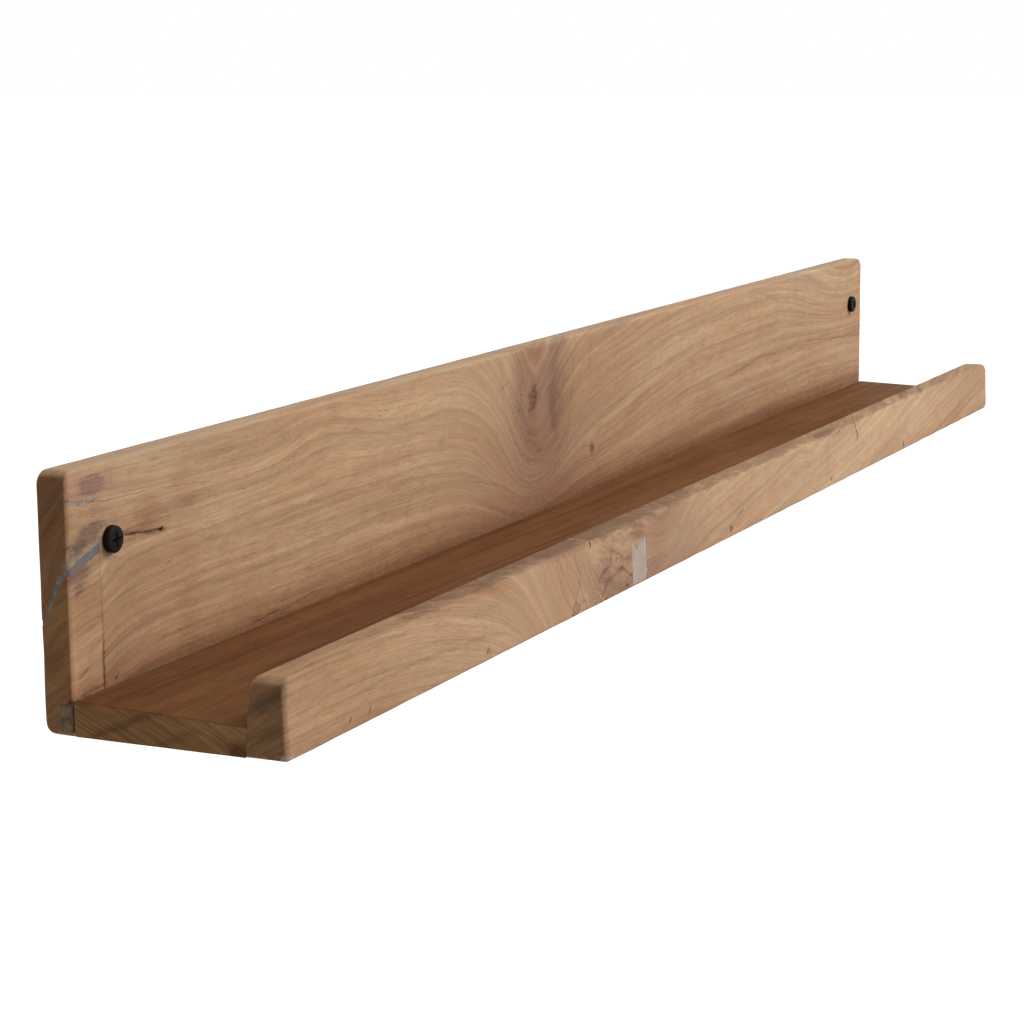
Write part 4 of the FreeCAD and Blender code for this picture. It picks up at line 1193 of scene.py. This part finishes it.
LIP_OUT = LIP_FRONT / MM
LIP_SHADES = {
    "ground": (0.438, 0.269, 0.148),
    "ruddy": (0.400, 0.216, 0.117),
    "pale": (0.472, 0.316, 0.180),
    "line": (0.26, 0.134, 0.070),
    "pore": (0.15, 0.080, 0.045),
    "worn": (0.42, 0.245, 0.130),
    "end": (0.168, 0.077, 0.026),
}
DUSK = (0.62, 0.54, 0.57)
SQUIGGLE = [
    (298, 12.6), (304, 15.6), (310, 15.2), (311.6, 22.6),
    (316, 21.8), (321, 20.4), (327, 16.2), (337.5, 14.6),
]
LOWER_SQUIGGLE = [(300, 4), (306, 9), (312, 9.2), (318.5, 11.8), (324.7, 12.4), (331, 9), (338.4, 5.1)]
LIP_STAINS_AND_SHADE = [
    # Painted shade: the whole lip top darker, as if the back board kept light from behind off it.
    ((500, 40, -97), (760, 40, 8.9), 0, 0.07, 0.25, (0.68, 0.63, 0.58), 1.0),
    ((150, 40, -97), (330, 40, 9.2), 0, 0.3, 0.3, (0.66, 0.58, 0.52), 0.9),
    ((290, 33, -97), (150, 12, 3.2), 0, 0.6, 0.8, (0.66, 0.62, 0.58), 0.9),
    ((930, 40, -97), (190, 40, 9.2), 0, 0.3, 0.3, (0.64, 0.60, 0.54), 0.9),
    ((36, 16, LIP_OUT), (56, 4, 34), 0, 0.8, 0.6, (0.94, 0.87, 0.80), 0.9),
    ((646, 32, -104), (17, 5, 3), 0, 0.6, 1.6, (0.58, 0.50, 0.50), 0.9),
    ((662, 30.8, LIP_OUT), (3, 3, 1.0), 25, 0.5, 1.0, (0.80, 0.46, 0.36), 0.8),
    ((385, 14, LIP_OUT), (44, 4, 32), 0, 0.8, 0.6, (0.74, 0.72, 0.76), 0.9),
    ((318, 7, LIP_OUT), (26, 4, 13), 0, 0.8, 1.2, (0.61, 0.53, 0.57), 0.9),
    ((303, 19, LIP_OUT), (12, 4, 9), 30, 0.8, 1.4, (0.74, 0.69, 0.73), 0.9),
    ((369, 11, LIP_OUT), (12, 4, 16), 0, 0.8, 0.8, (0.86, 0.77, 0.76), 0.9),
    ((640, 16, LIP_OUT), (90, 4, 34), 0, 0.8, 0.6, (1.12, 1.22, 1.30), 0.9),
    ((815, 24, LIP_OUT), (80, 4, 16), 0, 0.8, 0.8, (1.16, 1.28, 1.36), 0.9),
    ((955, 14, LIP_OUT), (55, 4, 30), 0, 0.8, 0.6, (0.92, 0.91, 0.90), 0.9),
    ((269, 5, LIP_OUT), (9, 4, 6), 0, 0.7, 0.8, (1.14, 1.20, 1.24), 0.9),
    ((268.4, 3.9, LIP_OUT), (4.9, 4, 2.7), 0, 0.15, 0.3, (0.46, 0.38, 0.38), 1.0),
    ((268.4, 4.0, LIP_OUT), (3.5, 4, 1.7), 0, 0.2, 0.3, (1.45, 1.55, 1.50), 1.0),
    ((271.5, 12.5, LIP_OUT), (1.6, 4, 3.8), -35, 0.7, 1.4, (0.58, 0.60, 0.68), 0.9),
    ((346, 27, LIP_OUT), (7.5, 4, 4.5), 0, 0.6, 1.6, (0.63, 0.57, 0.58), 0.8),
    ((330, 3.2, LIP_OUT), (1.2, 4, 1.0), -30, 0.5, 0.6, UMBER, 1.0),
    ((265, 0.4, LIP_OUT), (3.2, 4, 1.8), 0, 0.5, 1.0, UMBER, 0.9),
    ((303, 0.4, LIP_OUT), (3.2, 4, 1.7), 0, 0.5, 1.0, UMBER, 0.9),
    ((175, 4, LIP_OUT), (1.8, 4, 3.0), 20, 0.7, 0.8, (0.78, 0.68, 0.64), 0.8),
    ((476, 5, LIP_OUT), (1.8, 4, 1.8), 0, 0.5, 0.8, (0.32, 0.36, 0.32), 0.9),
    ((646, 4.2, LIP_OUT), (1.5, 4, 1.5), 0, 0.5, 0.8, (0.50, 0.50, 0.56), 0.9),
    ((794, 3.2, LIP_OUT), (1.5, 4, 1.5), 0, 0.5, 0.8, UMBER, 0.8),
    ((617, 27.5, LIP_OUT), (8, 4, 3.2), 8, 0.4, 1.0, PALE_WOOD, 0.6),
    ((698, 22, LIP_OUT), (1.6, 4, 2.2), 0, 0.5, 1.0, (0.52, 0.52, 0.70), 0.9),
    ((640, 16, LIP_OUT), (4, 4, 9), 0, 0.8, 1.4, (0.80, 0.78, 0.78), 0.6),
    ((165, 30, LIP_OUT), (45, 4, 2.4), -4, 0.7, 1.4, (1.0, 0.86, 0.72), 0.7),
    ((258, 16, LIP_OUT), (20, 4, 22), 0, 0.8, 1.4, (0.88, 0.80, 0.80), 0.9),
    ((900, 2.5, LIP_OUT), (90, 4, 4), 0, 0.8, 1.4, (0.90, 0.80, 0.76), 0.7),
    ((0, 23, -100), (3, 10, 4.5), 30, 0.7, 1.6, (0.56, 0.58, 0.62), 0.9),
    ((0, 10, -99), (3, 9, 2.4), 24, 0.7, 1.6, (0.62, 0.62, 0.66), 0.9),
    stroke(SQUIGGLE, 0.85, 0.9, 0.5, DUSK, 1.0, LIP_OUT),
    stroke(LOWER_SQUIGGLE, 0.85, 0.9, 0.5, DUSK, 1.0, LIP_OUT),
    ((304.5, 14.6, LIP_OUT), (2.6, 4, 2.0), 30, 0.7, 1.0, (0.66, 0.64, 0.68), 0.9),
    ((324, 12.2, LIP_OUT), (2.2, 4, 1.5), 0, 0.7, 1.0, (0.56, 0.50, 0.56), 0.9),
    stroke([(250, 30.5), (257, 22), (267, 8)], 0.9, 0.8, 1.4, (0.76, 0.58, 0.53), 0.8, LIP_OUT),
    stroke([(244, 31), (250, 22), (257, 11), (264, 4)], 0.7, 0.8, 1.4, (0.78, 0.62, 0.57), 0.8, LIP_OUT),
    stroke([(269, 27), (273, 20), (277, 14)], 0.8, 0.8, 1.4, (0.74, 0.60, 0.57), 0.8, LIP_OUT),
    stroke([(262, 30), (268, 22), (274, 8)], 0.8, 0.7, 1.2, PALE_WOOD, 0.9, LIP_OUT),
    stroke([(285, 29), (284, 24), (287, 18)], 0.8, 0.8, 1.4, (0.78, 0.66, 0.62), 0.7, LIP_OUT),
    stroke(
        [(60, 14), (104, 14.5), (150, 12.5), (175, 12), (196, 8)],
        0.8, 0.9, 1.6, (0.72, 0.64, 0.62), 0.6, LIP_OUT,
    ),
    stroke([(20, 30), (70, 29), (120, 29.5)], 0.8, 0.9, 1.6, (0.72, 0.64, 0.62), 0.4, LIP_OUT),
]
LIP_COVERS = [
    ((290, 40, -97), (250, 40, 9.2), 0, 0.2, 0.3, (0.175, 0.104, 0.062), 0.75),
    ((236, 16, LIP_OUT), (44, 4, 26), 0, 0.9, 0.6, (0.43, 0.262, 0.156), 0.55),
    ((395, 18, LIP_OUT), (34, 4, 26), 0, 0.9, 0.6, (0.38, 0.235, 0.145), 0.4),
    ((1, 0.6, -104), (3.5, 4.5, 1.3), 0, 0.4, 1.2, (0.40, 0.36, 0.32), 0.9),
    # Painted highlight: a pale line across the lip's top along the edge of the split.
    ((289, 32.2, -99), (1.2, 7, 1.0), 0, 0.6, 1.4, (0.46, 0.36, 0.26), 0.7),
]

lip = lip_blank("lip_strip")
checks = [check_tool(corners, seed) for seed, corners in enumerate(LIP_CHECKS, start=80)]
carve(lip, "DIFFERENCE", [lip_putty_tool(), lip_corner_tool(), nick_tools(), one_tool(checks), brad_ways()])
LIP_TEAK = teak(
    "teak_lip", LIP_SHADES, LIP_STAINS_AND_SHADE, LIP_COVERS, rings_per_metre=400, wander=3 * MM, ring_depth=0.5
)
finish_wood(lip, lip_outline, lip_flow, LIP_TEAK, "front_lip")

LIP_PUTTY = putty("putty_lip", (0.42, 0.340, 0.280), (0.33, 0.245, 0.190), 0.5)
CORNER_SMEARS = [((0, 1.2, -100.5), (3, 4.5, 4), 0, 0.5, 0.8, (0.14, 0.070, 0.030), 0.9)]
CORNER_PUTTY = putty("putty_corner", (0.42, 0.370, 0.315), (0.24, 0.170, 0.115), 0.6, CORNER_SMEARS)
PUTTY_SPAN = (LEFT_END + 325 * MM, LEFT_END + 370 * MM)
CORNER_SPAN = (LEFT_END, LEFT_END + 12 * MM)
lip_fill = lip_blank("lip_fill", PUTTY_SPAN, sunk=0.1 * MM, seed=77)
carve(lip_fill, "INTERSECT", [lip_putty_tool()])
finish_piece(lip_fill, LIP_PUTTY, "lip_filler")
corner_fill = lip_blank("corner_fill", CORNER_SPAN, sunk=0.1 * MM, seed=78)
carve(corner_fill, "INTERSECT", [lip_corner_tool()])
finish_piece(corner_fill, CORNER_PUTTY, "lip_corner_filler")

# Mounting screws: two black-coated pan-head screws with a cross recess. A plain neck goes through
# the board's clearance hole, and the thread starts where the wall does.
HEAD_RADIUS = 5.5 * MM
HEAD_HIGH = 3.3 * MM
HEAD_ROUND = 0.9 * MM
HEAD_CROWN = 0.25 * MM
NECK_RADIUS = 2.2 * MM
THREAD_RADIUS = 2.65 * MM
CORE_RADIUS = 1.85 * MM
THREAD_PITCH = 2.2 * MM
THREAD_TIP = 4.5 * MM
THREAD_ROWS = 110
SCREW_STEPS = 40


def screw_rows(centre, end):
    """Rows of the screw: a low-crowned head with a rounded rim, a neck, then a helical ridge
    r = core + rise * (1 - |2f - 1|)^1.6, where f is the fraction of y / pitch - angle / 2 pi, drawn
    in over the tip."""
    dome = np.linspace(0.04, 1, 8)
    rim = np.linspace(0, math.pi / 2, 7)[1:]
    face = BOARD_FRONT - HEAD_HIGH
    flat = HEAD_RADIUS - HEAD_ROUND
    profile = [(flat * share, face + HEAD_CROWN * share**2) for share in dome]
    profile += [
        (flat + HEAD_ROUND * math.sin(turn), face + HEAD_CROWN + HEAD_ROUND * (1 - math.cos(turn)))
        for turn in rim
    ]
    profile += [(HEAD_RADIUS, BOARD_FRONT - 0.35 * MM), (HEAD_RADIUS - 0.2 * MM, BOARD_FRONT - 0.03 * MM)]
    profile += [(NECK_RADIUS, BOARD_FRONT - 0.03 * MM), (NECK_RADIUS, WALL_PLANE - 0.2 * MM)]
    head = turned_rows(profile, centre, SCREW_STEPS)
    down = np.linspace(WALL_PLANE, end - 0.1 * MM, THREAD_ROWS)[:, None]
    angle = (np.arange(SCREW_STEPS) * 2 * math.pi / SCREW_STEPS)[None, :]
    share = np.mod(down / THREAD_PITCH - angle / (2 * math.pi), 1)
    radius = CORE_RADIUS + (THREAD_RADIUS - CORE_RADIUS) * (1 - np.abs(2 * share - 1)) ** 1.6
    radius = radius * np.clip((end - down) / THREAD_TIP, 0.02, 1) ** 0.8
    thread = np.stack(
        [
            centre[0] + radius * np.cos(angle),
            np.broadcast_to(down, radius.shape),
            centre[2] + radius * np.sin(angle),
        ],
        axis=-1,
    )
    return np.concatenate([head, thread])


def cross_rows(centre, top, deep, long, wide, turn):
    """Rows of a driver's cross: twelve corners that shrink with depth towards a blunt point."""
    arm, half = long / 2, wide / 2
    corners = np.array([
        (arm, -half), (arm, half), (half, half), (half, arm), (-half, arm), (-half, half),
        (-arm, half), (-arm, -half), (-half, -half), (-half, -arm), (half, -arm), (half, -half),
    ])
    lean = math.radians(turn)
    corners = corners @ np.array([(math.cos(lean), math.sin(lean)), (-math.sin(lean), math.cos(lean))])
    shares = np.array([1.25, 1.0, 0.78, 0.3])[:, None]
    depths = np.array([-0.5 * MM, 0, deep * 0.6, deep])[:, None]
    return np.stack(
        [
            centre[0] + corners[:, 0] * shares,
            np.broadcast_to(top + depths, (len(depths), len(corners))),
            centre[2] + corners[:, 1] * shares,
        ],
        axis=-1,
    )


def coat_effects(tree, given):
    """A coat's fine pebbles, and where it's rubbed."""
    place = given["Place"]
    return {
        "Pebble": noise(tree, stretched(tree, place, (1800, 1800, 1800)), 3.0, 0.6),
        "Rub": ramp(tree, noise(tree, stretched(tree, place, (420, 420, 420)), 3.0, 0.7), 0.55, 0.75),
    }


COAT_SKIN = new_group("coat_skin", {"Place": "Vector"}, coat_effects)


def coated_steel(name, body, scuff, roughness, metallic, shine=0.25):
    """Steel under a thin coat: its colour scuffed here and there, with a fine pebbled skin."""

    def colour_of(tree):
        place = add(tree, "ShaderNodeTexCoord", {}).node.outputs["Object"]
        found = use_group(tree, COAT_SKIN, {"Place": place})
        colour = blend(tree, maths(tree, "MULTIPLY", found["Rub"], 0.35), body, scuff)
        return colour, found["Pebble"], found["Pebble"], 0.05 * MM

    return new_material(name, colour_of, roughness, Metallic=metallic, Specular_IOR_Level=shine)


BLACK_STEEL = coated_steel(
    "black_coated_steel", (0.006, 0.0055, 0.0045), (0.012, 0.011, 0.009), (0.5, 0.7), 0.0, 0.1
)
for side, turn in (("left", 4), ("right", 38)):
    centre = screw_centres[side]
    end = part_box("mounting_screw_" + side)[1][1]
    screw = tube("screw_" + side, screw_rows(centre, end))
    recess = cross_rows(centre, BOARD_FRONT - HEAD_HIGH, 2.0 * MM, 6.4 * MM, 1.3 * MM, turn)
    carve(screw, "DIFFERENCE", [tube("recess", recess)])
    finish_piece(screw, BLACK_STEEL, "mounting_screw_" + side)

# Tray screws: six zinc-plated countersunk wood screws, driven from the wall side and sunk just
# under the board's rear. They keep the frame's own shapes.
ZINC = coated_steel("zinc_plated_steel", (0.55, 0.54, 0.50), (0.38, 0.36, 0.31), (0.3, 0.5), 0.9)
for index in TRAY_SCREW_NUMBERS:
    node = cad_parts[f"tray_screw_{index}"]
    node.data.materials.clear()
    node.data.materials.append(ZINC)

# Brads: six fine steel brads with a narrow head, fired through the lip's foot into the tray and
# sunk in their slots.
BRAD_STEEL = coated_steel("dull_brad_steel", (0.21, 0.145, 0.105), (0.12, 0.075, 0.050), (0.5, 0.7), 0.1)
BRAD_SINK = 0.35 * MM
BRAD_HEAD = 0.8 * MM


def brad_rows(centre, turn, head_face, end):
    """Rows of a brad: an oval head, then a round shank drawn in to a point."""
    head = nick_outline(centre, turn, NICK_WIDE - 0.08, NICK_HIGH - 0.1)
    shank_wide = 2 * BRAD_RADIUS / MM * 0.96
    shank = nick_outline(centre, turn, shank_wide, shank_wide)
    tip = centre[[0, 2]] + (shank - centre[[0, 2]]) * 0.1
    rows = []
    for outline, out in (
        (head, head_face), (head, head_face + BRAD_HEAD), (shank, head_face + BRAD_HEAD + 0.02 * MM),
        (shank, end - 1.6 * MM), (tip, end),
    ):
        rows.append(np.stack([outline[:, 0], np.full(len(outline), out), outline[:, 1]], axis=-1))
    return np.stack(rows)


for index, centre, turn in zip(BRAD_NUMBERS, brad_centres, NICK_TURNS):
    node = f"lip_brad_{index}"
    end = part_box(node)[1][1]
    brad = tube("brad", brad_rows(centre, turn, LIP_FRONT + BRAD_SINK, end))
    finish_piece(brad, BRAD_STEEL, node)

# The stage: a wide plain pale floor well below the hanging shelf, one large soft lamp to the front
# right, an even pale surround, and the camera at the photograph's angle. The lit floor and the
# surround show as white.
FLOOR_LEVEL = -1.4
FLOOR_REACH = 60.0
FLOOR_GLOW = 0.75
SURROUND = 0.5
LAMP_PLACE = (0.7, -1.6, 1.4)
LAMP_SIZE = 1.8
LAMP_WATTS = 48
mesh = bpy.data.meshes.new("floor")
corners = np.array([(-1, -1, 0), (1, -1, 0), (1, 1, 0), (-1, 1, 0)]) * FLOOR_REACH + (0, 0, FLOOR_LEVEL)
mesh.from_pydata(corners.tolist(), [], [(0, 1, 2, 3)])
floor = bpy.data.objects.new("floor", mesh)
bpy.context.scene.collection.objects.link(floor)


def shown_rays(tree):
    """1 for rays that show a thing as it is: from the camera, or by a reflection or through glass."""
    rays = tree.nodes.new("ShaderNodeLightPath").outputs
    mirrored = maths(tree, "MAXIMUM", rays["Is Glossy Ray"], rays["Is Transmission Ray"])
    return maths(tree, "MAXIMUM", rays["Is Camera Ray"], mirrored)


pale = bpy.data.materials.new("pale_floor")
pale.use_nodes = True
tree = pale.node_tree
shader = tree.nodes["Principled BSDF"]
shader.inputs["Base Color"].default_value = (0.8, 0.8, 0.8, 1)
shader.inputs["Roughness"].default_value = 0.9
shader.inputs["Specular IOR Level"].default_value = 0.0
shader.inputs["Emission Color"].default_value = (1, 1, 1, 1)
tree.links.new(ramp(tree, shown_rays(tree), 0.0, 1.0, 0.0, FLOOR_GLOW), shader.inputs["Emission Strength"])
mesh.materials.append(pale)

world = bpy.data.worlds.new("surround")
bpy.context.scene.world = world
world.use_nodes = True
tree = world.node_tree
background = tree.nodes["Background"]
background.inputs["Color"].default_value = (1, 1, 1, 1)
tree.links.new(ramp(tree, shown_rays(tree), 0.0, 1.0, SURROUND, 1.0), background.inputs["Strength"])

lamp = bpy.data.lights.new("window", "AREA")
lamp.shape = "SQUARE"
lamp.size = LAMP_SIZE
lamp.energy = LAMP_WATTS
window = bpy.data.objects.new("window", lamp)
window.location = LAMP_PLACE
window.rotation_mode = "QUATERNION"
window.rotation_quaternion = window.location.to_track_quat("Z", "Y")
bpy.context.scene.collection.objects.link(window)

CAMERA_LENS = 91.877
CAMERA_SHIFT = (-0.00114, 0.00044)
CAMERA_PLACE = (-1.31324, -0.57958, 0.19392)
CAMERA_RIGHT = (0.42068708, -0.90716559, -0.00854264)
CAMERA_DOWN = (-0.16812016, -0.06870345, -0.98336944)
CAMERA_AHEAD = (0.891492, 0.415127, -0.18141548)
camera = bpy.data.objects.new("camera", bpy.data.cameras.new("camera"))
camera.data.lens = CAMERA_LENS
camera.data.sensor_width = 36
camera.data.shift_x, camera.data.shift_y = CAMERA_SHIFT
columns = np.array([CAMERA_RIGHT, np.negative(CAMERA_DOWN), np.negative(CAMERA_AHEAD), CAMERA_PLACE]).T
camera.matrix_world = Matrix(np.vstack([columns, (0, 0, 0, 1)]).tolist())
bpy.context.scene.collection.objects.link(camera)
bpy.context.scene.camera = camera
bpy.context.scene.view_settings.view_transform = "Standard"
